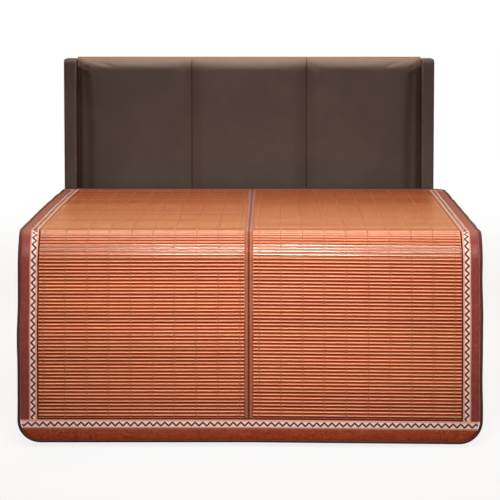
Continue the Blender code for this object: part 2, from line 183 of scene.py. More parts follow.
class Graph:
    """The node tree of one material or of the world."""

    def __init__(self, tree: bpy.types.NodeTree) -> None:
        """Empty the tree."""
        self.tree = tree
        tree.nodes.clear()

    def node(
        self, kind: str, settings: dict | None = None, inputs: dict | None = None
    ) -> bpy.types.Node:
        """Add one node.

        Args:
            kind: The node's type.
            settings: Its properties, set first.
            inputs: Wires, sockets or values by the name or number of the input.

        Returns:
            The new node.
        """
        made = self.tree.nodes.new(kind)
        for key, value in (settings or {}).items():
            setattr(made, key, value)
        for key, value in (inputs or {}).items():
            if isinstance(value, Wire):
                self.tree.links.new(value.socket, made.inputs[key])
            elif isinstance(value, bpy.types.NodeSocket):
                self.tree.links.new(value, made.inputs[key])
            else:
                made.inputs[key].default_value = value
        return made

    def wire(
        self, kind: str, output: str | int, settings: dict | None = None, inputs: dict | None = None
    ) -> Wire:
        """Add one node and return one of its outputs.

        Args:
            kind: The node's type.
            output: The name or number of the output.
            settings: As in node().
            inputs: As in node().

        Returns:
            The output.
        """
        return Wire(self, self.node(kind, settings, inputs).outputs[output])

    def place(self) -> Wire:
        """The Object coordinates of the shaded point."""
        return self.wire("ShaderNodeTexCoord", "Object")

    def flat(self) -> Wire:
        """The piece's own UV map, in metres along and across the cloth."""
        return self.wire("ShaderNodeTexCoord", "UV")

    def attribute(self, name: str) -> Wire:
        """One of the piece's own values at its points."""
        return self.wire("ShaderNodeAttribute", "Fac", {"attribute_name": name})

    def split(self, vector: Wire) -> tuple[Wire, Wire, Wire]:
        """The three parts of a vector."""
        first, second, third = self.node("ShaderNodeSeparateXYZ", None, {0: vector}).outputs
        return (Wire(self, first), Wire(self, second), Wire(self, third))

    def vector(self, x: Scalar, y: Scalar, z: Scalar = 0.0) -> Wire:
        """A vector from three numbers."""
        return self.wire("ShaderNodeCombineXYZ", 0, None, {0: x, 1: y, 2: z})

    def stretched(self, vector: Wire, factors: Sequence[float]) -> Wire:
        """A vector with each part multiplied by its own factor."""
        return self.wire(
            "ShaderNodeVectorMath", 0, {"operation": "MULTIPLY"}, {0: vector, 1: tuple(factors)}
        )

    def shifted(self, vector: Wire, by: Wire, amount: float) -> Wire:
        """A vector moved by another one times an amount."""
        scaled = self.wire(
            "ShaderNodeVectorMath", 0, {"operation": "MULTIPLY"}, {0: by, 1: (amount,) * 3}
        )
        return self.wire("ShaderNodeVectorMath", 0, {"operation": "ADD"}, {0: vector, 1: scaled})

    def noise(
        self,
        vector: Wire,
        scale: float,
        detail: float = 2.0,
        roughness: float = 0.5,
        distortion: float = 0.0,
    ) -> Wire:
        """Soft noise between about 0.3 and 0.7.

        Args:
            vector: Where it is read.
            scale: Cycles a metre of vector.
            detail: Number of finer layers.
            roughness: Strength of the finer layers.
            distortion: How far the noise folds into itself.

        Returns:
            The noise.
        """
        inputs = {"Vector": vector, "Scale": scale, "Detail": detail}
        inputs |= {"Roughness": roughness, "Distortion": distortion}
        return self.wire("ShaderNodeTexNoise", "Fac", None, inputs)

    def noise_color(self, vector: Wire, scale: float) -> Wire:
        """Noise with three independent channels, to shift coordinates by."""
        return self.wire("ShaderNodeTexNoise", "Color", None, {"Vector": vector, "Scale": scale})

    def cells(self, vector: Wire, scale: float, feature: str = "F1") -> Wire:
        """Distance within Voronoi cells.

        Args:
            vector: Where it is read.
            scale: Cells a metre of vector.
            feature: Which distance, as the node names it.

        Returns:
            The distance.
        """
        return self.wire(
            "ShaderNodeTexVoronoi", "Distance", {"feature": feature}, {"Vector": vector, "Scale": scale}
        )

    def mix(self, factor: Scalar, low: Wire | Color, high: Wire | Color) -> Wire:
        """A mix of two colours.

        Args:
            factor: Share of the second colour.
            low: The first colour.
            high: The second colour.

        Returns:
            The mixed colour.
        """
        settings = {"data_type": "RGBA", "clamp_factor": True}
        return self.wire("ShaderNodeMix", 2, settings, {0: factor, 6: low, 7: high})

    def bump(self, height: Wire, distance: float, strength: float) -> Wire:
        """A normal bent by a height field.

        Args:
            height: The height, 0 to 1.
            distance: Metres that a height of 1 stands for.
            strength: Share of the effect.

        Returns:
            The normal.
        """
        inputs = {"Height": height, "Distance": distance, "Strength": strength}
        return self.wire("ShaderNodeBump", "Normal", None, inputs)

    def principled(self, constants: dict, wires: dict) -> bpy.types.Node:
        """Add the shader and the output.

        Args:
            constants: Values that are the same all over the surface.
            wires: What changes over the surface, by input name.

        Returns:
            The shader node.
        """
        shader = self.node("ShaderNodeBsdfPrincipled", None, {**constants, **wires})
        self.node("ShaderNodeOutputMaterial", None, {"Surface": shader.outputs[0]})
        return shader


# Finishes


@dataclass(frozen=True)
class Finish:
    """A procedural finish. Its material is made when a piece first asks for it."""

    name: str

    def material(self) -> bpy.types.Material:
        """The finish as a Blender material.

        Returns:
            The material, made on the first call.
        """
        made = bpy.data.materials.get(self.name)
        if made is None:
            made = bpy.data.materials.new(self.name)
            made.use_nodes = True
            self.build(Graph(made.node_tree))
        return made

    def build(self, graph: Graph) -> None:
        """Add the nodes of this finish. Each finish has its own."""
        raise NotImplementedError


@dataclass(frozen=True)
class SlatLacquer(Finish):
    """Carbonised bamboo under lacquer, with paler bare wood on both shoulders.

    The UV map runs along the slat and round its section. The values slat_tone and
    joint_gap give each slat's own shade and the distance to its bamboo joint.
    bare_from, face_from, face_to and bare_to are places round the section.
    """

    bare_from: float
    face_from: float
    face_to: float
    bare_to: float
    deep: Color = paint(126, 22, 5)
    warm: Color = paint(154, 44, 11)
    bare: Color = paint(244, 168, 114)
    honey: Color = paint(236, 168, 116)
    joint: Color = paint(78, 14, 3)

    def past(self, value: Wire, line: float, blur: float) -> Wire:
        """A soft step from 0 before a line to 1 behind it, blurred to both sides."""
        return value.rise(line - blur, line + blur)

    def build(self, graph: Graph) -> None:
        """Streaks run along the slat; bands of the section show the bare wood."""
        along, around, _ = graph.split(graph.flat())
        tone = graph.attribute("slat_tone")
        gap = abs(graph.attribute("joint_gap"))
        grain = graph.noise(graph.vector(along * 9.0, around * 1500.0, tone * 40.0), 1.0, 4.0, 0.6)
        cloud = graph.noise(graph.vector(along * 5.0, tone * 90.0, 0.0), 1.0, 2.0)
        shade = (tone * 0.75 + cloud * 0.5 - 0.12).rise(0.0, 1.0)
        face = graph.mix(shade, self.deep, self.warm)
        face = graph.mix(grain.rise(0.42, 0.72) * 0.35, face, self.joint)
        face = graph.mix((1.0 - gap.rise(0.0006, 0.0022)) * 0.55, face, self.joint)
        worn = around + (grain - 0.5) * (0.6 * MM)
        upper = self.past(worn, self.bare_from, 0.3 * MM)
        upper = upper * (1.0 - self.past(worn, self.face_from, 0.35 * MM))
        lower = self.past(worn, self.face_to, 0.4 * MM)
        lower = lower * (1.0 - self.past(worn, self.bare_to, 0.3 * MM))
        pale = graph.mix(grain.rise(0.35, 0.7) * 0.30 + (1.0 - tone) * 0.18, self.bare, self.warm)
        low = graph.mix(grain.rise(0.35, 0.7) * 0.30, self.honey, self.warm)
        color = graph.mix(upper * 0.95, face, pale)
        color = graph.mix(lower * 0.92, color, low)
        rough = 0.12 + grain * 0.10 + upper * 0.36 + lower * 0.30
        graph.principled(
            {
                "Specular IOR Level": 0.45,
                "Sheen Weight": 0.35,
                "Sheen Roughness": 0.3,
                "Sheen Tint": paint(255, 198, 92),
            },
            {"Base Color": color, "Roughness": rough, "Normal": graph.bump(grain, 0.05 * MM, 0.8)},
        )


@dataclass(frozen=True)
class TwistedYarn(Finish):
    """A twisted yarn or sewing thread: two tones wound round its length."""

    light: Color
    dark: Color
    pitch: float = 1.6 * MM
    roughness: float = 0.62
    gloss: float = 0.3

    def build(self, graph: Graph) -> None:
        """The twist is a sine of the sum of the two UV directions."""
        along, around, _ = graph.split(graph.flat())
        twist = (along + around * 1.2).ripple(self.pitch)
        fuzz = graph.noise(graph.place(), 900.0, 3.0)
        color = graph.mix(twist.rise(0.15, 0.8) * 0.8 + fuzz * 0.2, self.dark, self.light)
        graph.principled(
            {"Roughness": self.roughness, "Specular IOR Level": self.gloss},
            {"Base Color": color, "Normal": graph.bump(twist, 0.12 * MM, 0.9)},
        )


@dataclass(frozen=True)
class WovenCloth(Finish):
    """A close plain or twill cloth: two sets of yarns, mottled a little.

    A point value, 1 beside a seam gap, mixes in a darker colour there: painted shade for the shade that
    falls into the gap.
    """

    light: Color
    dark: Color
    # Colour of the painted shade beside a seam gap.
    gap_shade: Color = paint(46, 18, 9)
    yarn: float = 0.7 * MM
    slant: float = 1.0
    roughness: float = 0.66
    sheen: float = 0.25
    relief: float = 0.10 * MM

    def build(self, graph: Graph) -> None:
        """Yarn height is the larger of two ripples; slow noise mottles the colour."""
        along, across, _ = graph.split(graph.flat())
        warp = (along + across * self.slant).ripple(self.yarn)
        weft = (along * 0.35 - across).ripple(self.yarn * 1.25)
        weave = warp.larger(weft * 0.9)
        patchy = graph.noise(graph.flat(), 38.0, 4.0, 0.6)
        share = weave * 0.35 + patchy * 1.1 - 0.25
        cloth = graph.mix(share, self.dark, self.light)
        graph.principled(
            {"Sheen Weight": self.sheen, "Sheen Roughness": 0.45, "Specular IOR Level": 0.3},
            {
                # Painted shade: a darker colour beside a seam gap.
                "Base Color": graph.mix(graph.attribute("painted_gap_shade") * 0.85, cloth, self.gap_shade),
                "Roughness": self.roughness + patchy * 0.12,
                "Normal": graph.bump(weave, self.relief, 0.8),
            },
        )


@dataclass(frozen=True)
class RibbonWeave(Finish):
    """The woven ribbon under the zigzag: a pale ground between two stitched edges.

    UV runs across it from the edge beside the slats. inner and outer are the widths of
    its two plain edge bands.
    """

    width: float
    inner: float
    outer: float
    ground: Color = paint(251, 214, 202)
    edge: Color = paint(214, 140, 108)
    stitch: Color = paint(118, 52, 42)

    def build(self, graph: Graph) -> None:
        """The two bands and a row of stitches follow the place across the ribbon."""
        along, across, _ = graph.split(graph.flat())
        fringe = 1.0 - across.rise(self.inner - 0.6 * MM, self.inner + 0.6 * MM)
        far = self.width - self.outer
        fringe = fringe + across.rise(far - 0.6 * MM, far + 0.6 * MM)
        row = 1.0 - abs(across - far).rise(0.6 * MM, 1.4 * MM)
        row = row * along.ripple(6.2 * MM).rise(0.35, 0.6)
        ribs = along.ripple(1.3 * MM)
        rows = across.ripple(1.1 * MM)
        weave = ribs * 0.6 + rows * 0.4
        soil = graph.noise(graph.flat(), 55.0, 3.0)
        ground = graph.mix(weave * 0.14 + soil * 0.16, self.ground, self.edge)
        color = graph.mix(fringe * 0.85, ground, self.edge)
        color = graph.mix(row * 0.75, color, self.stitch)
        graph.principled(
            {"Roughness": 0.7, "Specular IOR Level": 0.3},
            {"Base Color": color, "Normal": graph.bump(weave, 0.10 * MM, 0.7)},
        )


@dataclass(frozen=True)
class Brocade(Finish):
    """Satin cloth with small scrolls woven tone on tone."""

    satin: Color
    scroll: Color
    scroll_size: float = 17.0 * MM

    def build(self, graph: Graph) -> None:
        """Scrolls are rings round scattered points, bent by noise; satin is a fine twill."""
        flat = graph.flat()
        bent = graph.shifted(flat, graph.noise_color(flat, 60.0), 9.0 * MM)
        rings = graph.cells(bent, 1.0 / self.scroll_size)
        curl = rings.ripple(0.30)
        scroll = curl.rise(0.45, 0.72)
        along, across, _ = graph.split(flat)
        twill = (along + across).ripple(0.9 * MM)
        hatch = (along - across).ripple(6.4 * MM).rise(0.55, 0.95)
        hatch = hatch * graph.noise(flat, 90.0, 2.0).rise(0.42, 0.6)
        patchy = graph.noise(flat, 26.0, 3.0)
        share = scroll * 0.45 + hatch * 0.5 + twill * 0.12 + patchy * 0.5 - 0.3
        height = scroll * 0.7 + twill * 0.3
        graph.principled(
            {
                "Sheen Weight": 0.10,
                "Sheen Roughness": 0.35,
                "Sheen Tint": paint(255, 190, 180),
                "Specular IOR Level": 0.35,
            },
            {
                "Base Color": graph.mix(share, self.satin, self.scroll),
                "Roughness": 0.46 + scroll * 0.18,
                "Normal": graph.bump(height, 0.16 * MM, 0.8),
            },
        )


@dataclass(frozen=True)
class KnitTicking(Finish):
    """The mattress cover: a pale knit with small raised lozenges."""

    light: Color = paint(240, 235, 226)
    dark: Color = paint(212, 204, 190)

    def build(self, graph: Graph) -> None:
        """Lozenges are the product of two slanted ripples over Object coordinates."""
        x, y, z = graph.split(graph.place())
        first = (x + y + z).ripple(14.0 * MM)
        second = (x + y - z).ripple(14.0 * MM)
        lozenge = first * second
        knit = (x + y).ripple(1.8 * MM) * z.ripple(1.5 * MM)
        patchy = graph.noise(graph.place(), 9.0, 3.0)
        share = lozenge * 0.55 + knit * 0.25 + patchy * 0.35
        graph.principled(
            {"Roughness": 0.86, "Sheen Weight": 0.3, "Sheen Roughness": 0.5},
            {
                "Base Color": graph.mix(share, self.dark, self.light),
                "Normal": graph.bump(lozenge * 0.7 + knit * 0.3, 0.5 * MM, 0.6),
            },
        )


@dataclass(frozen=True)
class Leather(Finish):
    """Soft dark leather: pebbled grain, fine creases and lighter edges, partly wear and partly painted
    highlight.

    A point value marks where the lighter colour goes: round edges, where it is partly wear and partly
    painted highlight, and the top roll of the headboard panels, where it is a painted highlight.
    """

    deep: Color = paint(76, 56, 46)
    warm: Color = paint(88, 68, 57)
    # Lighter colour for worn edges and for painted highlights.
    worn: Color = paint(176, 138, 110)
    wear_and_highlight_share: float = 0.5
    patchiness: float = 1.0

    def build(self, graph: Graph) -> None:
        """Grain is the distance to Voronoi edges; creases are stretched noise."""
        place = graph.place()
        pebbles = graph.cells(place, 520.0, "DISTANCE_TO_EDGE").rise(0.0, 0.28)
        creases = graph.noise(graph.stretched(place, (1.0, 1.0, 0.35)), 46.0, 5.0, 0.62, 0.6)
        patchy = graph.noise(place, 5.5, 4.0, 0.55)
        scuffs = graph.noise(place, 31.0, 5.0, 0.65)
        color = graph.mix(patchy.rise(0.35, 0.68) * 0.7 + creases * 0.25, self.deep, self.warm)
        rubbed = scuffs.rise(0.30, 0.70) * self.patchiness + (1.0 - self.patchiness)
        wear_and_highlight = graph.attribute("wear_and_highlight") * rubbed * self.wear_and_highlight_share
        # Painted highlight and wear: the lighter colour mixed in by the point value.
        color = graph.mix(wear_and_highlight, color, self.worn)
        rough = 0.40 + patchy * 0.12 + (1.0 - pebbles) * 0.10
        height = pebbles * 0.55 + creases.rise(0.3, 0.7) * 0.45
        graph.principled(
            {"Specular IOR Level": 0.5},
            {"Base Color": color, "Roughness": rough, "Normal": graph.bump(height, 0.22 * MM, 0.75)},
        )


@dataclass(frozen=True)
class StainedBoard(Finish):
    """Dark stained board with grain along x."""

    light: Color = paint(64, 50, 42)
    dark: Color = paint(34, 26, 22)

    def build(self, graph: Graph) -> None:
        """Grain is noise stretched along the board."""
        place = graph.place()
        grain = graph.noise(graph.stretched(place, (1.0, 9.0, 9.0)), 18.0, 5.0, 0.6, 0.4)
        pores = graph.noise(graph.stretched(place, (2.0, 40.0, 40.0)), 40.0, 2.0)
        share = grain.rise(0.3, 0.7) * 0.8 + pores * 0.2
        graph.principled(
            {"Specular IOR Level": 0.4},
            {
                "Base Color": graph.mix(share, self.dark, self.light),
                "Roughness": 0.45 + grain * 0.2,
                "Normal": graph.bump(grain + pores * 0.5, 0.15 * MM, 0.5),
            },
        )


@dataclass(frozen=True)
class PaleFloor(Finish):
    """The plain studio floor, which fades out where it ends."""

    light: Color = paint(243, 243, 242)
    dark: Color = paint(236, 236, 235)
    fade_from: float = 3.0
    fade_to: float = 9.0
    cover: float = 0.15

    def build(self, graph: Graph) -> None:
        """The floor is a thin veil, which turns clear with the distance from the middle."""
        place = graph.place()
        mottle = graph.noise(place, 3.0, 3.0)
        shader = graph.node(
            "ShaderNodeBsdfPrincipled",
            None,
            {"Base Color": graph.mix(mottle, self.dark, self.light), "Roughness": 0.9},
        )
        clear = graph.node("ShaderNodeBsdfTransparent")
        distance = graph.wire("ShaderNodeVectorMath", "Value", {"operation": "LENGTH"}, {0: place})
        fade = 1.0 - (1.0 - distance.rise(self.fade_from, self.fade_to)) * self.cover
        mixed = graph.node(
            "ShaderNodeMixShader", None, {0: fade, 1: shader.outputs[0], 2: clear.outputs[0]}
        )
        graph.node("ShaderNodeOutputMaterial", None, {"Surface": mixed.outputs[0]})


# Surfaces


@dataclass
class Surface:
    """A mesh in the making.

    points has one row a point. Each group holds faces with the same number of corners
    and the UV of those corners. values are numbers at the points, by name.
    """

    points: Array
    groups: list[tuple[Array, Array]]
    values: dict[str, Array] = field(default_factory=dict)

    @staticmethod
    def tubes(rings: Array, around: Array, along: Array, looped: bool = False) -> "Surface":
        """Skin closed rings that are carried along paths.

        Ring point j of station i joins point j of station i + 1, and point j + 1 of
        both. The first and last rings are closed with one face each, unless the path
        is a loop.

        Args:
            rings: Points, as (paths, stations, ring points, 3).
            around: Place round the ring of each ring point, and of the first one again.
            along: Place along the path of each station, and of the first again in a loop.
            looped: Whether the last station joins the first.

        Returns:
            The closed surface, facing outwards.
        """
        paths, stations, ring = rings.shape[:3]
        j = np.arange(ring)
        i = np.arange(stations if looped else stations - 1)[:, None]
        after = (i + 1) % stations
        beside = (j + 1) % ring
        quads = np.stack(
            [i * ring + j, i * ring + beside, after * ring + beside, after * ring + j], axis=-1
        ).reshape(-1, 4)
        here, there = along[i], along[i + 1]
        lengthwise = np.stack(np.broadcast_arrays(here, here, there, there), axis=-1)
        lengthwise = np.broadcast_to(lengthwise, (len(i), ring, 4))
        crosswise = np.broadcast_to(
            np.stack([around[j], around[j + 1], around[j + 1], around[j]], axis=-1), (len(i), ring, 4)
        )
        quad_uv = np.stack([lengthwise, crosswise], axis=-1).reshape(-1, 4, 2)
        offset = (np.arange(paths) * stations * ring)[:, None, None]
        groups = [
            ((quads[None] + offset).reshape(-1, 4), np.tile(quad_uv, (paths, 1, 1))),
        ]
        if not looped:
            caps = np.stack([j[::-1], (stations - 1) * ring + j])
            cap_uv = np.stack(
                [
                    np.stack([np.full(ring, along[0]), around[:-1][::-1]], axis=-1),
                    np.stack([np.full(ring, along[stations - 1]), around[:-1]], axis=-1),
                ]
            )
            groups.append(((caps[None] + offset).reshape(-1, ring), np.tile(cap_uv, (paths, 1, 1))))
        return Surface(rings.reshape(-1, 3), groups).outward()

    def outward(self) -> "Surface":
        """Turn every face round if the surface encloses a negative volume.

        The volume is a third of the sum of face centre times face area vector.

        Returns:
            The surface itself.
        """
        middle = self.points.mean(axis=0)
        volume = 0.0
        for faces, _ in self.groups:
            corners = self.points[faces] - middle
            areas = np.cross(corners, np.roll(corners, -1, axis=1)).sum(axis=1)
            volume += float((corners.mean(axis=1) * areas).sum())
        if volume < 0.0:
            self.groups = [(faces[:, ::-1], uv[:, ::-1]) for faces, uv in self.groups]
        return self

    @staticmethod
    def joined(parts: Sequence["Surface"]) -> "Surface":
        """Several surfaces as one.

        Args:
            parts: Surfaces that carry the same values.

        Returns:
            One surface.
        """
        groups = []
        start = 0
        for part in parts:
            groups += [(faces + start, uv) for faces, uv in part.groups]
            start += len(part.points)
        keys = parts[0].values
        values = {key: np.concatenate([part.values[key] for part in parts]) for key in keys}
        return Surface(np.concatenate([part.points for part in parts]), groups, values)

    def mesh(self, name: str, sharp_degrees: float) -> Piece:
        """Put the arrays into a Blender mesh object.

        Args:
            name: The object's name.
            sharp_degrees: Edges that turn more than this stay sharp.

        Returns:
            The object, at the origin.
        """
        corners = np.concatenate([faces.ravel() for faces, _ in self.groups])
        sizes = np.concatenate([np.full(len(faces), faces.shape[1]) for faces, _ in self.groups])
        uv = np.concatenate([uv.reshape(-1, 2) for _, uv in self.groups])
        starts = np.concatenate([[0], np.cumsum(sizes)[:-1]])
        mesh = bpy.data.meshes.new(name)
        mesh.vertices.add(len(self.points))
        mesh.vertices.foreach_set("co", self.points.astype(np.float32).ravel())
        mesh.loops.add(len(corners))
        mesh.loops.foreach_set("vertex_index", corners.astype(np.int32))
        mesh.polygons.add(len(sizes))
        mesh.polygons.foreach_set("loop_start", starts.astype(np.int32))
        mesh.update(calc_edges=True)
        layer = mesh.uv_layers.new(name="UVMap")
        layer.data.foreach_set("uv", uv.astype(np.float32).ravel())
        for key, numbers in self.values.items():
            stored = mesh.attributes.new(key, "FLOAT", "POINT")
            stored.data.foreach_set("value", numbers.astype(np.float32).ravel())
        mesh.validate()
        mesh.shade_smooth()
        mesh.set_sharp_from_angle(angle=math.radians(sharp_degrees))
        made = bpy.data.objects.new(name, mesh)
        bpy.context.scene.collection.objects.link(made)
        return made


def finish_piece(
    surface: Surface,
    name: str,
    finish: Finish,
    nodes: Sequence[str] = (),
    sharp_degrees: float = 40.0,
) -> Piece:
    """Make a surface into a dressed piece that rides on the bed.

    Args:
        surface: The shape.
        name: The piece's name.
        finish: Its finish.
        nodes: CAD nodes that the piece stands for.
        sharp_degrees: Edges that turn more than this stay sharp.

    Returns:
        The piece.
    """
    piece = surface.mesh(name, sharp_degrees)
    piece.data.materials.append(finish.material())
    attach(piece, BODY)
    if nodes:
        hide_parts(*nodes)
    faces = sum(len(group) * (group.shape[1] - 2) for group, _ in surface.groups)
    LOG.info("%s: %d triangles, stands for %s", name, faces, ", ".join(nodes) or "no node")
    return piece


def ease(value: Array, low: float, high: float) -> Array:
    """Rise smoothly from 0 at low to 1 at high, as t * t * (3 - 2 t)."""
    t = np.clip((value - low) / (high - low), 0.0, 1.0)
    return t * t * (3.0 - 2.0 * t)


def spread(marks: Sequence[float], steps: Sequence[int]) -> Array:
    """Places that divide each stretch between marks into its own number of steps.

    Args:
        marks: Places in rising order.
        steps: Number of steps between each two marks.

    Returns:
        The places, the marks among them.
    """
    runs = [np.linspace(a, b, n, endpoint=False) for a, b, n in zip(marks, marks[1:], steps)]
    return np.concatenate(runs + [np.array([marks[-1]])])


def path_length(points: Array) -> Array:
    """Distance along a line of points from its start to each of them."""
    steps = np.linalg.norm(np.diff(points, axis=0), axis=-1)
    return np.concatenate([[0.0], np.cumsum(steps)])


def round_length(first: Array, second: Array) -> Array:
    """Distance round a closed ring from its first point to each, and back to the first.

    Args:
        first: First coordinate of the ring's points.
        second: Second coordinate of the ring's points.

    Returns:
        The distances, one more than there are points.
    """
    ring = np.stack([first, second], axis=-1)
    return path_length(np.concatenate([ring, ring[:1]]))


def unit(vectors: Array) -> Array:
    """Vectors made one metre long, each divided by its own length."""
    return vectors / np.linalg.norm(vectors, axis=-1, keepdims=True)


def oval(count: int, wide: float, tall: float) -> tuple[Array, Array]:
    """An oval with its first point on top: half width times cosine, half height times sine.

    Args:
        count: Number of points.
        wide: Half its width.
        tall: Half its height.

    Returns:
        The two coordinates of its points.
    """
    angle = np.arange(count) * TURN / count + math.pi / 2.0
    return wide * np.cos(angle), tall * np.sin(angle)


# Sizes, and how the mat lies


@dataclass(frozen=True)
class MatPlan:
    """Flat sizes of the mat, in metres, as in the CAD source."""

    seam: float = 0.0003
    half_width: float = 0.750
    corner_radius: float = 0.075
    binding: float = 0.010
    side_border: float = 0.028
    side_ribbon: float = 0.0255
    end_border: float = 0.036
    end_ribbon: float = 0.029
    piping: float = 0.005
    hinge: float = 0.0135
    fold_u: float = -0.0055
    border_thickness: float = 0.0030
    ribbon_thickness: float = 0.0034
    binding_thickness: float = 0.0046
    piping_thickness: float = 0.0044
    hinge_thickness: float = 0.0056
    slat_thickness: float = 0.0045
    slat_pitch: float = 0.01135

    @property
    def half_seam(self) -> float:
        """What each of two neighbours leaves of the gap between them."""
        return self.seam / 2.0

    @property
    def corner_u(self) -> float:
        """Half the distance between the centres of two rounded corners."""
        return self.half_width - self.corner_radius

    @property
    def border_outer(self) -> float:
        """Half the width inside the binding."""
        return self.half_width - self.binding

    @property
    def ribbon_outer(self) -> float:
        """Half the width inside the side borders."""
        return self.border_outer - self.side_border

    @property
    def piping_outer(self) -> float:
        """Half the width inside the side ribbons."""
        return self.ribbon_outer - self.side_ribbon

    @property
    def field_outer(self) -> float:
        """Half the width inside the side piping."""
        return self.piping_outer - self.piping

    @property
    def end_ribbon_start(self) -> float:
        """Distance from the mat's end to its ribbon."""
        return self.binding + self.end_border

    @property
    def end_piping_start(self) -> float:
        """Distance from the mat's end to its piping."""
        return self.end_ribbon_start + self.end_ribbon

    @property
    def field_start(self) -> float:
        """Distance from the mat's end to the slats."""
        return self.end_piping_start + self.piping


@dataclass(frozen=True)
class BedPlan:
    """Sizes of the bed, in metres, as in the CAD source."""

    centre_x: float = -0.020
    plinth_height: float = 0.060
    plinth_inset: float = 0.090
    base_top: float = 0.410
    base_width: float = 1.450
    base_foot_inset: float = 0.020
    base_edge: float = 0.014
    mattress_width: float = 1.450
    mattress_length: float = 1.900
    mattress_top: float = 0.690
    foot_radius: float = 0.082
    mattress_edge: float = 0.042
    side_rounding: float = 0.030
    headboard_width: float = 1.455
    headboard_top: float = 1.209
    headboard_gap: float = 0.005
    wing_width: float = 0.048
    wing_depth: float = 0.150
    wing_drop: float = 0.006
    wing_corner: float = 0.020
    wing_edge: float = 0.007
    panel_recess: float = 0.058
    panel_thickness: float = 0.052
    back_drop: float = 0.012
    standoff: float = 0.0106
    seam: float = 0.0003

    @property
    def foot_y(self) -> float:
        """The mattress's foot face."""
        depth = self.mattress_length + self.headboard_gap + self.wing_depth
        return -(depth - self.standoff) / 2.0

    @property
    def head_y(self) -> float:
        """The mattress's head face."""
        return self.foot_y + self.mattress_length

    @property
    def wing_front(self) -> float:
        """Front of the headboard's wings."""
        return self.head_y + self.headboard_gap

    @property
    def back_y(self) -> float:
        """Back of the headboard."""
        return self.wing_front + self.wing_depth

    @property
    def bend_y(self) -> float:
        """Centre of the foot's rounding, along y."""
        return self.foot_y + self.foot_radius

    @property
    def bend_z(self) -> float:
        """Centre of the foot's rounding, along z."""
        return self.mattress_top - self.foot_radius


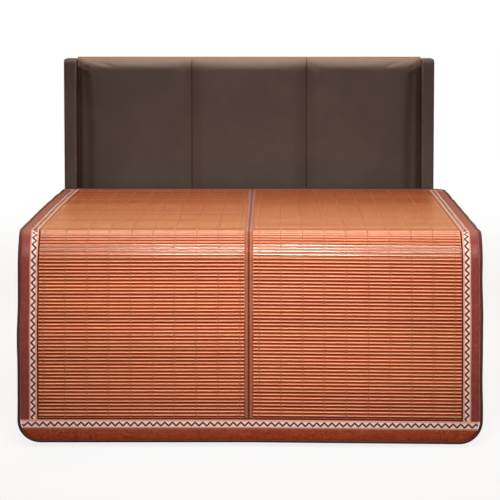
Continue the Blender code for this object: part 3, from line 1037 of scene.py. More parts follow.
@dataclass(frozen=True)
class MatLie:
    """How the flat mat lies on the bed and falls over its foot.

    It is the CAD source's lie, and each half has also slid a few millimetres outwards.
    """

    plan: MatPlan
    bed: BedPlan
    head_inset: float = 0.002
    foot_height: float = 0.0155
    flat_clearance: float = 0.0003
    bend_clearance: float = 0.0023
    ramp: float = 0.120
    lift_peak: float = 0.0038
    lift_on_top: float = 0.0008
    slide: tuple[float, float, float] = (0.0, -0.0006, 0.0055)
    lift_waves: tuple[tuple[float, float], ...] = ((0.36, 0.5), (0.47, 2.1), (0.41, 3.4))
    waver_waves: tuple[tuple[float, float, float], ...] = ((0.31, 0.7, 0.0008), (0.17, 2.0, 0.0004))
    drift_marks: tuple[float, ...] = (0.0, 0.5, 0.9, 1.72, 1.88, 1.98, 2.2, 2.54)
    drift_left: tuple[float, ...] = (0.0, 0.006, 0.009, 0.008, -0.003, 0.0, 0.0035, 0.0055)
    drift_right: tuple[float, ...] = (0.0, 0.0, 0.0, -0.001, -0.004, -0.002, 0.0005, 0.0015)

    @property
    def top_run(self) -> float:
        """Length of the mat that lies flat on the mattress."""
        return self.bed.head_y - self.head_inset - self.bed.bend_y

    @property
    def bend_run(self) -> float:
        """Length of the mat's underside round the foot."""
        return self.bed.foot_radius * math.pi / 2.0

    @property
    def length(self) -> float:
        """Whole length of the mat."""
        return self.top_run + self.bend_run + self.bed.bend_z - self.foot_height

    def between(self, u: Array, values: Sequence[Array | float]) -> Array:
        """A quantity that is straight between the left edge, the fold and the right edge.

        Args:
            u: Place across the mat.
            values: The quantity on the three lines.

        Returns:
            The quantity at u.
        """
        left, fold, right = values
        half, middle = self.plan.half_width, self.plan.fold_u
        on_left = fold + (left - fold) * (middle - u) / (half + middle)
        on_right = fold + (right - fold) * (u - middle) / (half - middle)
        return np.where(u < middle, on_left, on_right)

    def lift(self, u: Array, s: Array) -> Array:
        """How far the mat stands off its even lie: one soft wave a line, taller below."""
        waves = [0.5 + 0.5 * np.sin(TURN * s / length + phase) for length, phase in self.lift_waves]
        hanging = ease(s, self.top_run - self.ramp, self.top_run + self.ramp)
        height = self.lift_on_top + (self.lift_peak - self.lift_on_top) * hanging
        return height * self.between(u, waves)

    def waver(self, u: Array, s: Array) -> Array:
        """Sideways waver of the soft border, a sum of sines that grows to the edge."""
        side = np.where(u < 0.0, -1.0, 1.0)
        reach = ease(np.abs(u), self.plan.piping_outer, self.plan.half_width)
        total = sum(
            height * np.sin(TURN * s / length + phase * (2.0 + side))
            for length, phase, height in self.waver_waves
        )
        return side * reach * total

    def drift(self, u: Array, s: Array) -> Array:
        """How far each half has slid outwards, from none at the fold to all at its edge.

        The slide eases from mark to mark along the mat.
        """
        total = np.zeros(np.broadcast(u, s).shape)
        half, middle = self.plan.half_width, self.plan.fold_u
        for way, values in ((-1.0, self.drift_left), (1.0, self.drift_right)):
            share = np.clip(way * (u - middle) / (half - way * middle), 0.0, 1.0)
            slide = np.full(np.shape(s), values[0])
            for k, step in enumerate(np.diff(values)):
                slide = slide + step * ease(s, self.drift_marks[k], self.drift_marks[k + 1])
            total = total + way * share * slide
        return total

    def place(self, u: Array, s: Array, h: Array) -> Array:
        """Bend points of the flat mat onto the bed.

        The distance along the mat gives a run back on the top, an angle round the foot
        and a run down the front. Height is measured outwards from the bed all the way.

        Args:
            u: Place across the mat.
            s: Place along the mat from its head edge.
            h: Height above the mat's underside.

        Returns:
            The points in space, with a last axis of three.
        """
        u, s, h = np.broadcast_arrays(u, s, h)
        along = s + self.between(u, self.slide)
        near = ease(along, self.top_run - self.ramp, self.top_run)
        clearance = self.flat_clearance + (self.bend_clearance - self.flat_clearance) * near
        out = clearance + self.lift(u, along) + h
        angle = np.clip((along - self.top_run) / self.bed.foot_radius, 0.0, math.pi / 2.0)
        reach = self.bed.foot_radius + out
        before = np.minimum(along - self.top_run, 0.0)
        past = np.maximum(along - self.top_run - self.bend_run, 0.0)
        x = u + self.waver(u, along) + self.drift(u, along)
        y = self.bed.bend_y - reach * np.sin(angle) - before
        z = self.bed.bend_z + reach * np.cos(angle) - past
        return np.stack([x, y, z], axis=-1)

    def stiff(self, u: Array, s: Array, ds: Array, h: Array) -> Array:
        """Place the section of a stiff slat, which stays straight where the mat bends.

        A point is the slat's centre plus ds along the mat and h off the bed, with both
        directions taken at the centre.

        Args:
            u: Place across the mat.
            s: Place along the mat of the slat's centre.
            ds: Offset from the centre along the mat.
            h: Height above the mat's underside.

        Returns:
            The points in space.
        """
        step = 0.5 * MM
        centre = self.place(u, s, 0.0)
        along = unit(self.place(u, s + step, 0.0) - self.place(u, s - step, 0.0))
        off = unit(self.place(u, s, step) - centre)
        return centre + along * ds[..., None] + off * h[..., None]

    def stations(self, start: float, end: float, step: float) -> Array:
        """Places along the mat about a step apart, and three times closer round the foot.

        Args:
            start: First place.
            end: Last place.
            step: Distance between places on the straight runs.

        Returns:
            The places.
        """
        bend_end = self.top_run + self.bend_run
        marks = (start, self.top_run, bend_end, end)
        steps = [max(1, round((b - a) / step)) for a, b in zip(marks, marks[1:])]
        steps[1] *= 3
        return spread(marks, steps)


# The mat


@dataclass
class SlatPanel:
    """One half of the mat: straight bamboo slats, held by threads that lie in notches."""

    lie: MatLie
    side: Side
    section: tuple[tuple[float, float], ...] = (
        (-5.20, 0.00),
        (-5.52, 2.90),
        (-4.60, 3.62),
        (-2.60, 4.32),
        (0.00, 4.50),
        (2.70, 4.32),
        (4.70, 3.60),
        (5.52, 2.80),
        (5.20, 0.00),
    )
    bare_stop: float = -3.0 * MM
    face_stop: float = 3.6 * MM
    thread_pitch: float = 0.0704
    threads: int = 10
    end_play: float = 0.7 * MM
    height_play: tuple[float, float] = (-0.10 * MM, 0.12 * MM)
    tilt_height: float = 2.0 * MM
    notch_half_width: float = 1.5 * MM
    notch_depth: float = 2.0 * MM
    notch_from: float = 1.6 * MM
    notch_slope: float = 2.7 * MM
    thread_steps: tuple[float, ...] = (-0.5, -0.19, 0.24)
    thread_dip: float = 1.9 * MM
    thread_half_width: float = 0.85 * MM
    thread_half_height: float = 0.40 * MM
    tilt: float = math.radians(1.3)
    seed: int = 11

    def limits(self) -> tuple[float, float]:
        """The panel's lowest and highest u, inside the fold strip and the piping."""
        plan = self.lie.plan
        inner = plan.fold_u + self.side.value * (plan.hinge + 1.5 * plan.seam)
        outer = self.side.value * (plan.field_outer - plan.half_seam)
        return (min(inner, outer), max(inner, outer))

    def slat_centres(self) -> tuple[Array, float]:
        """Place along the mat of each slat's centre, and the distance between two.

        Returns:
            The places and the pitch.
        """
        plan = self.lie.plan
        start = plan.field_start + plan.half_seam
        run = self.lie.length - 2.0 * start
        count = round(run / plan.slat_pitch)
        pitch = run / count
        return start + (np.arange(count) + 0.5) * pitch, pitch

    def thread_places(self) -> Array:
        """Place across the mat of each thread, evenly spaced from side to side."""
        low, high = self.limits()
        margin = ((high - low) - (self.threads - 1) * self.thread_pitch) / 2.0
        return low + margin + np.arange(self.threads) * self.thread_pitch

    def slats(self) -> Surface:
        """Every slat of the panel.

        The section, in millimetres along the mat and off the bed, is carried across the
        mat with four stations at each thread, where its top sinks into a notch. Each
        slat has its own small tilt, height, ends, shade and bamboo joint.

        Returns:
            The slats as one surface.
        """
        rng = np.random.default_rng(self.seed + self.side.value)
        centres, _ = self.slat_centres()
        count = len(centres)
        low, high = self.limits()
        shoulders = np.array([-1.0, -0.6, 0.6, 1.0]) * self.notch_half_width
        notches = self.thread_places()[:, None] + shoulders
        across = np.concatenate([[low], notches.ravel(), [high]])
        sunk = np.concatenate([[0.0], np.tile([0.0, 1.0, 1.0, 0.0], self.threads), [0.0]])
        section = np.array(self.section) * MM
        topness = np.clip((section[:, 1] - self.notch_from) / self.notch_slope, 0.0, 1.0)

        ends = rng.uniform(0.0, self.end_play, (count, 2))
        u = np.broadcast_to(across, (count, len(across))).copy()
        u[:, 0] += ends[:, 0]
        u[:, -1] -= ends[:, 1]
        tilt = rng.normal(0.0, self.tilt * 0.6, count).clip(-self.tilt, self.tilt)
        rise = rng.uniform(*self.height_play, count)
        ds = section[None, None, :, 0]
        h = section[None, None, :, 1] - self.notch_depth * sunk[None, :, None] * topness
        turn = tilt[:, None, None]
        turned_ds = ds * np.cos(turn) - (h - self.tilt_height) * np.sin(turn)
        turned_h = np.maximum(h * np.cos(turn) + ds * np.sin(turn) + rise[:, None, None], 0.0)
        rings = self.lie.stiff(u[:, :, None], centres[:, None, None], turned_ds, turned_h)

        surface = Surface.tubes(rings, round_length(*section.T), across)
        joints = rng.uniform(low, high, count)
        points = np.broadcast_to(u[:, :, None], rings.shape[:3])
        surface.values["slat_tone"] = np.broadcast_to(
            rng.uniform(0.0, 1.0, count)[:, None, None], rings.shape[:3]
        ).ravel()
        surface.values["joint_gap"] = (points - joints[:, None, None]).ravel()
        return surface

    def lacquer(self) -> SlatLacquer:
        """The finish, told where the shoulders and the face lie round the section."""
        around = path_length(np.array(self.section) * MM)
        crest = float(around[4])
        return SlatLacquer(
            "lacquered_bamboo",
            float(around[1]),
            crest + self.bare_stop,
            crest + self.face_stop,
            float(around[7]),
        )

    def threads_surface(self) -> Surface:
        """The threads: flat cords that dip into the gap after every slat.

        Each slat gives three path points: in the gap, and on both shoulders of the notch.

        Returns:
            The threads as one surface.
        """
        centres, pitch = self.slat_centres()
        steps = np.array(self.thread_steps) * pitch
        top = (self.lie.plan.slat_thickness - self.notch_depth) + self.thread_half_height * 0.4
        heights = np.array([self.thread_dip, top, top])
        s = (centres[:, None] + steps).ravel()
        h = np.tile(heights, len(centres))
        wide, tall = oval(5, self.thread_half_width, self.thread_half_height)
        u = self.thread_places()[:, None, None] + wide
        rings = self.lie.place(u, s[None, :, None], h[None, :, None] + tall)
        return Surface.tubes(rings, round_length(wide, tall), s)

    def build(self) -> tuple[Piece, Piece]:
        """Make the slats and their threads.

        Returns:
            The piece of slats and the piece of threads.
        """
        word = self.side.word
        slats = finish_piece(
            self.slats(),
            f"slats_{word}",
            self.lacquer(),
            [f"slat_field_{word}"],
            sharp_degrees=24.0,
        )
        threads = finish_piece(
            self.threads_surface(),
            f"slat_threads_{word}",
            TwistedYarn("slat_thread", paint(168, 88, 46), paint(112, 50, 22), roughness=0.36, gloss=0.9),
        )
        low, high = self.limits()
        start = self.lie.plan.field_start
        high - low
        self.lie.length - 2.0 * start
        return slats, threads


def strip_section(thickness: float, edge: float, power: float, count: int) -> tuple[Array, Array]:
    """The ring of a strip whose top is rounded down to its edges.

    The top's height is thickness * (edge + (1 - edge) * (1 - |2 t - 1| ** power)) at
    share t of the width, and the underside is flat.

    Args:
        thickness: Height in the middle.
        edge: Share of the height that is left at the edges.
        power: How square the top is.
        count: Number of points on the top.

    Returns:
        Share of the width and height of each ring point.
    """
    t = 0.5 - 0.5 * np.cos(np.linspace(0.0, math.pi, count))
    top = thickness * (edge + (1.0 - edge) * (1.0 - np.abs(2.0 * t - 1.0) ** power))
    share = np.concatenate([[0.0], t, [1.0]])
    height = np.concatenate([[0.0], top, [0.0]])
    return share, height


@dataclass
class SewnStrip:
    """A strip of cloth between two lines of the flat mat, bent onto the bed.

    inner and outer hold the flat coordinates of the strip's two edges, station by
    station. relief gives extra height at flat coordinates for puckers and padding.
    """

    lie: MatLie
    inner: Array
    outer: Array
    section: tuple[Array, Array]
    looped: bool = False
    relief: Callable[[Array, Array], Array] | None = None

    def surface(self) -> Surface:
        """Carry the section along the two edges.

        Returns:
            The strip's closed surface, with UV along it and across it in metres.
        """
        share, height = self.section
        flat = self.inner[:, None, :] + (self.outer - self.inner)[:, None, :] * share[None, :, None]
        h = np.broadcast_to(height, flat.shape[:2]).copy()
        if self.relief is not None:
            h += self.relief(flat[..., 0], flat[..., 1]) * (height > 0.0)
        rings = self.lie.place(flat[..., 0], flat[..., 1], h)[None]
        width = float(np.median(np.linalg.norm(self.outer - self.inner, axis=1)))
        around = share * width
        around[0] = -height[1]
        around[-1] = width + height[-2]
        around = np.append(around, around[-1] + width)
        middle = (self.inner + self.outer) / 2.0
        if self.looped:
            middle = np.concatenate([middle, middle[:1]])
        return Surface.tubes(rings, around, path_length(middle), self.looped)


def line_along(u: float, stations: Array) -> Array:
    """Flat coordinates of a line of constant u."""
    return np.stack([np.full_like(stations, u), stations], axis=-1)


def line_across(u: Array, s: Array | float) -> Array:
    """Flat coordinates of a line across the mat, at one place along it or at many."""
    return np.stack([u, np.broadcast_to(s, u.shape)], axis=-1)


@dataclass
class Trim:
    """Everything sewn round and between the slats: strips, ribbons, borders, binding."""

    lie: MatLie
    step: float = 0.012
    zigzag_period: float = 24.4 * MM
    zigzag_reach: float = 5.6 * MM
    zigzag_half_width: float = 3.0 * MM
    zigzag_height: float = 0.75 * MM
    zigzag_margin: float = 1.5 * MM
    inner_band: float = 6.0 * MM
    outer_band: float = 3.8 * MM
    # Reach from the fold of the painted gap shade on the fold strips.
    gap_shade: tuple[float, float] = (0.8 * MM, 4.2 * MM)
    pucker_period: float = 0.019
    pucker_height: float = 0.22 * MM
    fine_pucker_period: float = 0.0127
    fine_pucker_height: float = 0.12 * MM
    border_puff: float = 0.3 * MM
    padding_height: float = 0.10 * MM
    padding_drop: float = 0.2 * MM
    roll_period: float = 0.047
    roll_height: float = 0.12 * MM
    stitch_pitch: float = 7.0 * MM
    stitch_length: float = 4.6 * MM
    stitch_inset: float = 2.2 * MM
    stitch_half_width: float = 0.42 * MM
    stitch_half_height: float = 0.38 * MM
    corner_steps: int = 14

    def from_end(self, distance: Array | float, end: End) -> Array | float:
        """Place along the mat at a distance from one of its ends."""
        return self.lie.length - distance if end is End.FOOT else distance

    @property
    def side_start(self) -> float:
        """Distance from the mat's ends to the trim along its sides."""
        return self.lie.plan.end_piping_start + self.lie.plan.half_seam

    def side_lines(self, side: Side, inner: float, outer: float) -> tuple[Array, Array]:
        """Flat coordinates of the two edges of a strip along one side of the mat.

        Args:
            side: Which side.
            inner: Distance of the near edge from the mat's middle.
            outer: Distance of the far edge.

        Returns:
            The two edges.
        """
        stations = self.lie.stations(self.side_start, self.lie.length - self.side_start, self.step)
        return line_along(side.value * inner, stations), line_along(side.value * outer, stations)

    def fold_strip(self, side: Side) -> Piece:
        """The padded cloth strip beside the centre fold, with small puckers and painted shade beside the
        fold gap.

        Args:
            side: Which of the two strips.

        Returns:
            The piece.
        """
        plan = self.lie.plan
        start = plan.field_start + plan.half_seam
        stations = self.lie.stations(start, self.lie.length - start, 0.0045)
        near = plan.fold_u + side.value * plan.half_seam
        far = plan.fold_u + side.value * (plan.hinge + plan.half_seam)

        def puckers(u: Array, s: Array) -> Array:
            """Two ripples along the strip, strongest near its edges."""
            off = np.abs(np.abs(u - plan.fold_u) / plan.hinge - 0.5) * 2.0
            slow = 1.0 + np.sin(s * TURN / self.pucker_period + side.value)
            fine = 1.0 + np.sin(s * TURN / self.fine_pucker_period)
            return -off * (self.pucker_height * slow + self.fine_pucker_height * fine)

        strip = SewnStrip(
            self.lie,
            line_along(near, stations),
            line_along(far, stations),
            strip_section(plan.hinge_thickness, 0.18, 2.0, 11),
            relief=puckers,
        )
        surface = strip.surface()
        reach = strip.inner[:, None, 0] + (strip.outer - strip.inner)[:, None, 0] * strip.section[0]
        # Painted shade: the cloth darkens within a few millimetres of the fold gap, where shade falls.
        gap_shade_share = 1.0 - ease(np.abs(reach - plan.fold_u), *self.gap_shade)
        surface.values["painted_gap_shade"] = gap_shade_share.ravel()
        piece = finish_piece(
            surface,
            f"fold_strip_{side.word}",
            WovenCloth("fold_strip_cloth", paint(190, 104, 70), paint(128, 62, 40), sheen=0.1),
            [f"hinge_strip_{side.word}"],
            sharp_degrees=ROUND_DEGREES,
        )
        return piece

    def piping_finish(self) -> Finish:
        """The dark cloth of the piping and the binding."""
        light, dark = paint(104, 42, 24), paint(44, 14, 7)
        return WovenCloth("binding_cloth", light, dark, yarn=0.8 * MM, roughness=0.62, sheen=0.05)

    def piping(self, name: str, inner: Array, outer: Array) -> Piece:
        """The round piping between the slats and a ribbon.

        Args:
            name: Which side or end it is on.
            inner: Flat coordinates of the edge beside the slats.
            outer: Flat coordinates of the edge beside the ribbon.

        Returns:
            The piece.
        """
        section = strip_section(self.lie.plan.piping_thickness, 0.4, 2.0, 8)
        return finish_piece(
            SewnStrip(self.lie, inner, outer, section).surface(),
            f"piping_cord_{name}",
            self.piping_finish(),
            [f"piping_{name}"],
            sharp_degrees=ROUND_DEGREES,
        )

    def side_piping(self, side: Side) -> Piece:
        """The piping along one side of the slats."""
        plan = self.lie.plan
        inner, outer = plan.field_outer + plan.half_seam, plan.piping_outer - plan.half_seam
        return self.piping(side.word, *self.side_lines(side, inner, outer))

    def end_piping(self, end: End) -> Piece:
        """The piping across one end of the slats."""
        plan = self.lie.plan
        reach = plan.piping_outer - plan.piping - plan.seam
        across = spread((-reach, plan.fold_u, reach), (50, 50))
        near = self.from_end(plan.field_start - plan.half_seam, end)
        far = self.from_end(plan.end_piping_start + plan.half_seam, end)
        return self.piping(end.value, line_across(across, near), line_across(across, far))

    def zigzag(self, centre: Callable[[Array], Array], aside: Array, length: float) -> Surface:
        """A raised zigzag yarn along a ribbon.

        The yarn's line swings to both sides of the ribbon's middle as a triangle wave
        with softened tips, and a flat oval is carried along it.

        Args:
            centre: Gives the flat coordinates of the middle at a distance along it.
            aside: Flat direction across the ribbon.
            length: Length of the ribbon.

        Returns:
            The yarn's surface.
        """
        periods = round(length / self.zigzag_period)
        margin = self.zigzag_margin
        t = np.linspace(0.0, periods, periods * 12 + 1)
        run = margin + t / periods * (length - 2.0 * margin)
        swing = np.arcsin(0.985 * np.sin(TURN * t)) * (2.0 / math.pi) / 0.89
        line = centre(run) + aside * (swing * self.zigzag_reach)[:, None]
        heading = unit(np.gradient(line, axis=0))
        beside = np.stack([-heading[:, 1], heading[:, 0]], axis=-1)
        angle = np.radians([0.0, 40.0, 90.0, 140.0, 180.0, 270.0])
        wide = self.zigzag_half_width * np.cos(angle)
        tall = np.where(angle > math.pi, -0.4 * MM, self.zigzag_height * np.sin(angle) - 0.15 * MM)
        flat = line[:, None, :] + beside[:, None, :] * wide[None, :, None]
        h = self.lie.plan.ribbon_thickness + tall
        rings = self.lie.place(flat[..., 0], flat[..., 1], h[None, :])[None]
        return Surface.tubes(rings, round_length(wide, tall), path_length(line))

    def ribbon(
        self, name: str, inner: Array, outer: Array, width: float, aside: Array
    ) -> tuple[Piece, Piece]:
        """One woven ribbon with its zigzag.

        Args:
            name: Which side or end it is on.
            inner: Flat coordinates of the edge beside the slats.
            outer: Flat coordinates of the other edge.
            width: The ribbon's width.
            aside: Flat direction across it.

        Returns:
            The ribbon and the zigzag.
        """
        plan = self.lie.plan
        strip = SewnStrip(self.lie, inner, outer, strip_section(plan.ribbon_thickness, 0.62, 6.0, 9))
        band = finish_piece(
            strip.surface(),
            f"ribbon_band_{name}",
            RibbonWeave(
                f"ribbon_weave_{round(width / MM)}", width, self.inner_band, self.outer_band
            ),
            [f"ribbon_{name}"],
        )
        middle = (inner + outer) / 2.0
        lengths = path_length(middle)

        def centre(run: Array) -> Array:
            """Flat coordinates at a distance along the ribbon's middle."""
            return np.stack([np.interp(run, lengths, middle[:, i]) for i in (0, 1)], axis=-1)

        yarn = finish_piece(
            self.zigzag(centre, aside, float(lengths[-1])),
            f"ribbon_zigzag_{name}",
            TwistedYarn("zigzag_yarn", paint(104, 40, 40), paint(60, 18, 20)),
            sharp_degrees=ROUND_DEGREES,
        )
        return band, yarn

    def side_ribbon(self, side: Side) -> tuple[Piece, Piece]:
        """The ribbon along one side of the mat."""
        plan = self.lie.plan
        inner, outer = self.side_lines(
            side, plan.piping_outer + plan.half_seam, plan.ribbon_outer - plan.half_seam
        )
        return self.ribbon(side.word, inner, outer, plan.side_ribbon, np.array([1.0, 0.0]))

    def corner_half_width(self, distance: float, radius: float) -> float:
        """Half the width inside a rounded corner at a distance from the mat's end."""
        plan = self.lie.plan
        rise = plan.corner_radius - distance
        return plan.corner_u + math.sqrt(max(radius * radius - rise * rise, 0.0))

    def end_ribbon(self, end: End) -> tuple[Piece, Piece]:
        """The ribbon across one end of the mat, cut to its rounded corners."""
        plan = self.lie.plan
        radius = plan.corner_radius - plan.binding - 2.0 * plan.seam
        near = plan.end_piping_start - plan.half_seam
        far = plan.end_ribbon_start + plan.half_seam
        fold = plan.fold_u / plan.half_width
        shares = spread((-1.0, fold, 1.0), (55, 55))
        inner = self.corner_half_width(near, radius) * shares
        outer = self.corner_half_width(far, radius) * shares
        return self.ribbon(
            end.value,
            line_across(inner, self.from_end(near, end)),
            line_across(outer, self.from_end(far, end)),
            plan.end_ribbon,
            np.array([0.0, 1.0]),
        )

    def padding(self, u: Array, s: Array) -> Array:
        """Soft unevenness of the borders: a sum of sines in both directions."""
        return self.padding_height * (
            np.sin(s * TURN / 0.071 + u * 31.0)
            + np.sin(u * TURN / 0.083 + s * 17.0)
            + 0.6 * np.sin(s * TURN / 0.029 + 1.3)
        ) - self.padding_drop

    def brocade(self, along_side: bool) -> Finish:
        """The satin of the borders in two painted tones, plum along the sides and brown across, standing
        in for the sheen of one cloth's pile in the light.
        """
        # Painted sheen: side and end borders are one cloth, given two colours for how it catches the
        # light.
        if along_side:
            return Brocade("border_brocade_side", paint(118, 44, 36), paint(152, 70, 60))
        return Brocade("border_brocade_end", paint(124, 34, 6), paint(182, 80, 30))

    def border(
        self, name: str, inner: Array, outer: Array, finish: Finish
    ) -> Piece:
        """One brocade border, softly padded.

        Args:
            name: Which side or end it is on.
            inner: Flat coordinates of the edge beside the ribbon.
            outer: Flat coordinates of the edge beside the binding.
            finish: Its satin.

        Returns:
            The piece.
        """
        thickness = self.lie.plan.border_thickness + self.border_puff
        section = strip_section(thickness, 0.55, 3.0, 10)
        piece = finish_piece(
            SewnStrip(self.lie, inner, outer, section, relief=self.padding).surface(),
            f"border_cloth_{name}",
            finish,
            [f"border_{name}"],
            sharp_degrees=ROUND_DEGREES,
        )
        return piece

    def side_border(self, side: Side) -> Piece:
        """The brocade border along one side of the mat."""
        plan = self.lie.plan
        inner, outer = self.side_lines(
            side, plan.ribbon_outer + plan.half_seam, plan.border_outer - plan.seam
        )
        flat = (plan.side_border, self.lie.length - 2.0 * self.side_start)
        return self.border(side.word, inner, outer, self.brocade(True))

    def end_border(self, end: End) -> Piece:
        """The brocade border across one end of the mat, with its rounded corners."""
        plan = self.lie.plan
        near_distance = plan.end_ribbon_start - plan.half_seam
        radius = plan.corner_radius - plan.binding - plan.seam
        limit = math.acos((plan.corner_radius - near_distance + plan.seam) / radius)
        angle = np.linspace(limit, 0.0, self.corner_steps)
        arc_u = plan.corner_u + radius * np.sin(angle)
        arc_distance = plan.corner_radius - radius * np.cos(angle)
        middle = spread((-plan.corner_u, plan.fold_u, plan.corner_u), (48, 48))[1:-1]
        across = np.concatenate([-arc_u, middle, arc_u[::-1]])
        distance = np.concatenate(
            [arc_distance, np.full_like(middle, plan.binding + plan.seam), arc_distance[::-1]]
        )
        return self.border(
            end.value,
            line_across(across, self.from_end(near_distance, end)),
            line_across(across, self.from_end(distance, end)),
            self.brocade(False),
        )

    def outline(self, inset: float) -> Array:
        """Flat coordinates of the mat's outline at an inset, as one closed line.

        Args:
            inset: Distance inside the mat's edge.

        Returns:
            The points, once round.
        """
        plan = self.lie.plan
        radius = plan.corner_radius - inset
        corner_u = plan.corner_u
        half = plan.half_width - inset
        start, stop = plan.corner_radius, self.lie.length - plan.corner_radius
        straight = self.lie.stations(start, stop, self.step)[1:-1]
        cross = spread((-corner_u, plan.fold_u, corner_u), (40, 40))[1:-1]
        angle = np.linspace(0.0, math.pi / 2.0, self.corner_steps + 1)
        sine, cosine = np.sin(angle), np.cos(angle)
        parts = [
            (np.full_like(straight, half), straight),
            (corner_u + radius * cosine, stop + radius * sine),
            (cross[::-1], np.full_like(cross, self.lie.length - inset)),
            (-corner_u - radius * sine, stop + radius * cosine),
            (np.full_like(straight, -half), straight[::-1]),
            (-corner_u - radius * cosine, start - radius * sine),
            (cross, np.full_like(cross, inset)),
            (corner_u + radius * sine, start - radius * cosine),
        ]
        return np.stack([np.concatenate([p[i] for p in parts]) for i in (0, 1)], axis=-1)

    def binding(self) -> Piece:
        """The rolled binding round the mat."""
        plan = self.lie.plan

        def roll(u: Array, s: Array) -> Array:
            """Slight unevenness of the roll along the edge."""
            return self.roll_height * np.sin((u * 1.7 + s) * TURN / self.roll_period)

        strip = SewnStrip(
            self.lie,
            self.outline(plan.binding),
            self.outline(0.0),
            strip_section(plan.binding_thickness, 0.35, 2.3, 10),
            looped=True,
            relief=roll,
        )
        return finish_piece(
            strip.surface(),
            "rolled_binding",
            self.piping_finish(),
            ["edge_binding"],
            sharp_degrees=ROUND_DEGREES,
        )

    def stitches(self) -> Piece:
        """The stitches that hold the binding: short ovals along it, thinner at both ends."""
        plan = self.lie.plan
        line = self.outline(plan.binding - self.stitch_inset)
        line = np.concatenate([line, line[:1]])
        lengths = path_length(line)
        count = round(lengths[-1] / self.stitch_pitch)
        starts = np.arange(count) * lengths[-1] / count
        shares = np.array([0.0, 0.22, 0.78, 1.0])
        swell = np.array([0.35, 1.0, 1.0, 0.35])
        run = starts[:, None] + shares * self.stitch_length
        at = np.stack([np.interp(run, lengths, line[:, i]) for i in (0, 1)], axis=-1)
        heading = unit(at[:, -1] - at[:, 0])
        beside = np.stack([-heading[:, 1], heading[:, 0]], axis=-1)
        wide, tall = oval(5, self.stitch_half_width, self.stitch_half_height)
        wide, tall = wide * swell[:, None], tall * swell[:, None]
        flat = at[:, :, None, :] + beside[:, None, None, :] * wide[None, :, :, None]
        h = plan.binding_thickness * 0.80 + tall
        rings = self.lie.place(flat[..., 0], flat[..., 1], h[None])
        around = np.linspace(0.0, 2.5 * MM, 6)
        return finish_piece(
            Surface.tubes(rings, around, shares * self.stitch_length),
            "binding_stitches",
            TwistedYarn("binding_thread", paint(142, 88, 66), paint(92, 50, 36), pitch=1.0 * MM),
        )

    def build(self) -> None:
        """Make every sewn piece of the mat."""
        for side in Side:
            self.fold_strip(side)
            self.side_piping(side)
            self.side_ribbon(side)
            self.side_border(side)
        for end in End:
            self.end_piping(end)
            self.end_ribbon(end)
            self.end_border(end)
        self.binding()
        self.stitches()


# The bed


def rounded_ring(
    low: Point, high: Point, radii: Sequence[float], inset: Array, arc: int, straight: Sequence[int]
) -> Array:
    """Outlines of a rectangle with four rounded corners, shrunk by several insets.

    Each corner keeps its centre, and its radius shrinks by the inset. The corners come
    in the order high-high, low-high, low-low, high-low.

    Args:
        low: Lowest first and second coordinate.
        high: Highest first and second coordinate.
        radii: Radius of each corner.
        inset: One inset a ring, none above the smallest radius.
        arc: Steps in each corner.
        straight: Steps on each side after each corner.

    Returns:
        Points as (rings, points a ring, 2).
    """
    centres = np.array(
        [
            (high[0] - radii[0], high[1] - radii[0]),
            (low[0] + radii[1], high[1] - radii[1]),
            (low[0] + radii[2], low[1] + radii[2]),
            (high[0] - radii[3], low[1] + radii[3]),
        ]
    )
    corners = []
    for k in range(4):
        angle = math.pi / 2.0 * (k + np.linspace(0.0, 1.0, arc + 1))
        direction = np.stack([np.cos(angle), np.sin(angle)], axis=-1)
        reach = np.maximum(radii[k] - inset, 0.0)[:, None, None]
        corners.append(centres[k] + reach * direction)
    parts = []
    for k in range(4):
        share = np.linspace(0.0, 1.0, straight[k] + 1)[1:-1][None, :, None]
        begin, finish = corners[k][:, -1:], corners[(k + 1) % 4][:, :1]
        parts += [corners[k], begin + (finish - begin) * share]
    return np.concatenate(parts, axis=1)


def slab(
    low: Point,
    high: Point,
    radii: Sequence[float],
    edge: float,
    arc: int,
    straight: Sequence[int],
    inner: int = 0,
    crosswise: int = 1,
) -> Surface:
    """A slab across x with rounded corners in its y and z outline and rounded side edges.

    Towards both sides the outline shrinks by edge - sqrt(edge^2 - (edge - d)^2) at the
    distance d from the side, and then in steps towards its middle to make the side face.

    Args:
        low: Lowest corner.
        high: Highest corner.
        radii: Radii of the outline's corners, in the order of rounded_ring.
        edge: Radius of the side edges.
        arc: Steps in each rounding.
        straight: Steps on each straight side of the outline.
        inner: Steps from the side face's rim to its middle.
        crosswise: Steps across x between the roundings.

    Returns:
        The surface, with a point value that is 1 where it turns an edge, for the lighter edges that are
        partly wear and partly painted highlight.
    """
    turn = np.linspace(0.0, math.pi / 2.0, arc + 1)
    depth = edge * (1.0 - np.sin(turn))[::-1]
    distance = edge * (1.0 - np.cos(turn))[::-1]
    inset = np.concatenate([depth[::-1], np.zeros(crosswise - 1), depth])
    left = low[0] + distance[::-1]
    right = high[0] - distance
    middle = np.linspace(left[-1], right[0], crosswise + 1)[1:-1]
    x = np.concatenate([left, middle, right])
    rings = rounded_ring(low[1:], high[1:], radii, inset, arc, straight)
    shrink = np.linspace(1.0, 0.02, inner + 1)[1:]
    centre = rings.mean(axis=1, keepdims=True)
    first = centre[:1] + (rings[:1] - centre[:1]) * shrink[::-1, None, None]
    last = centre[-1:] + (rings[-1:] - centre[-1:]) * shrink[:, None, None]
    rings = np.concatenate([first, rings, last])
    x = np.concatenate([np.full(inner, x[0]), x, np.full(inner, x[-1])])
    points = np.concatenate([np.broadcast_to(x[:, None, None], rings.shape[:2] + (1,)), rings], axis=-1)
    around = round_length(*rings[len(rings) // 2].T)
    along = path_length(points.mean(axis=1)) + np.arange(len(x)) * 1e-6
    surface = Surface.tubes(points[None], around, along)
    edges, face = np.sin(2.0 * turn), np.zeros(inner)
    rounded = np.concatenate([face, edges, np.zeros(crosswise - 1), edges, face])
    surface.values["wear_and_highlight"] = np.broadcast_to(rounded[:, None], rings.shape[:2]).ravel().copy()
    return surface


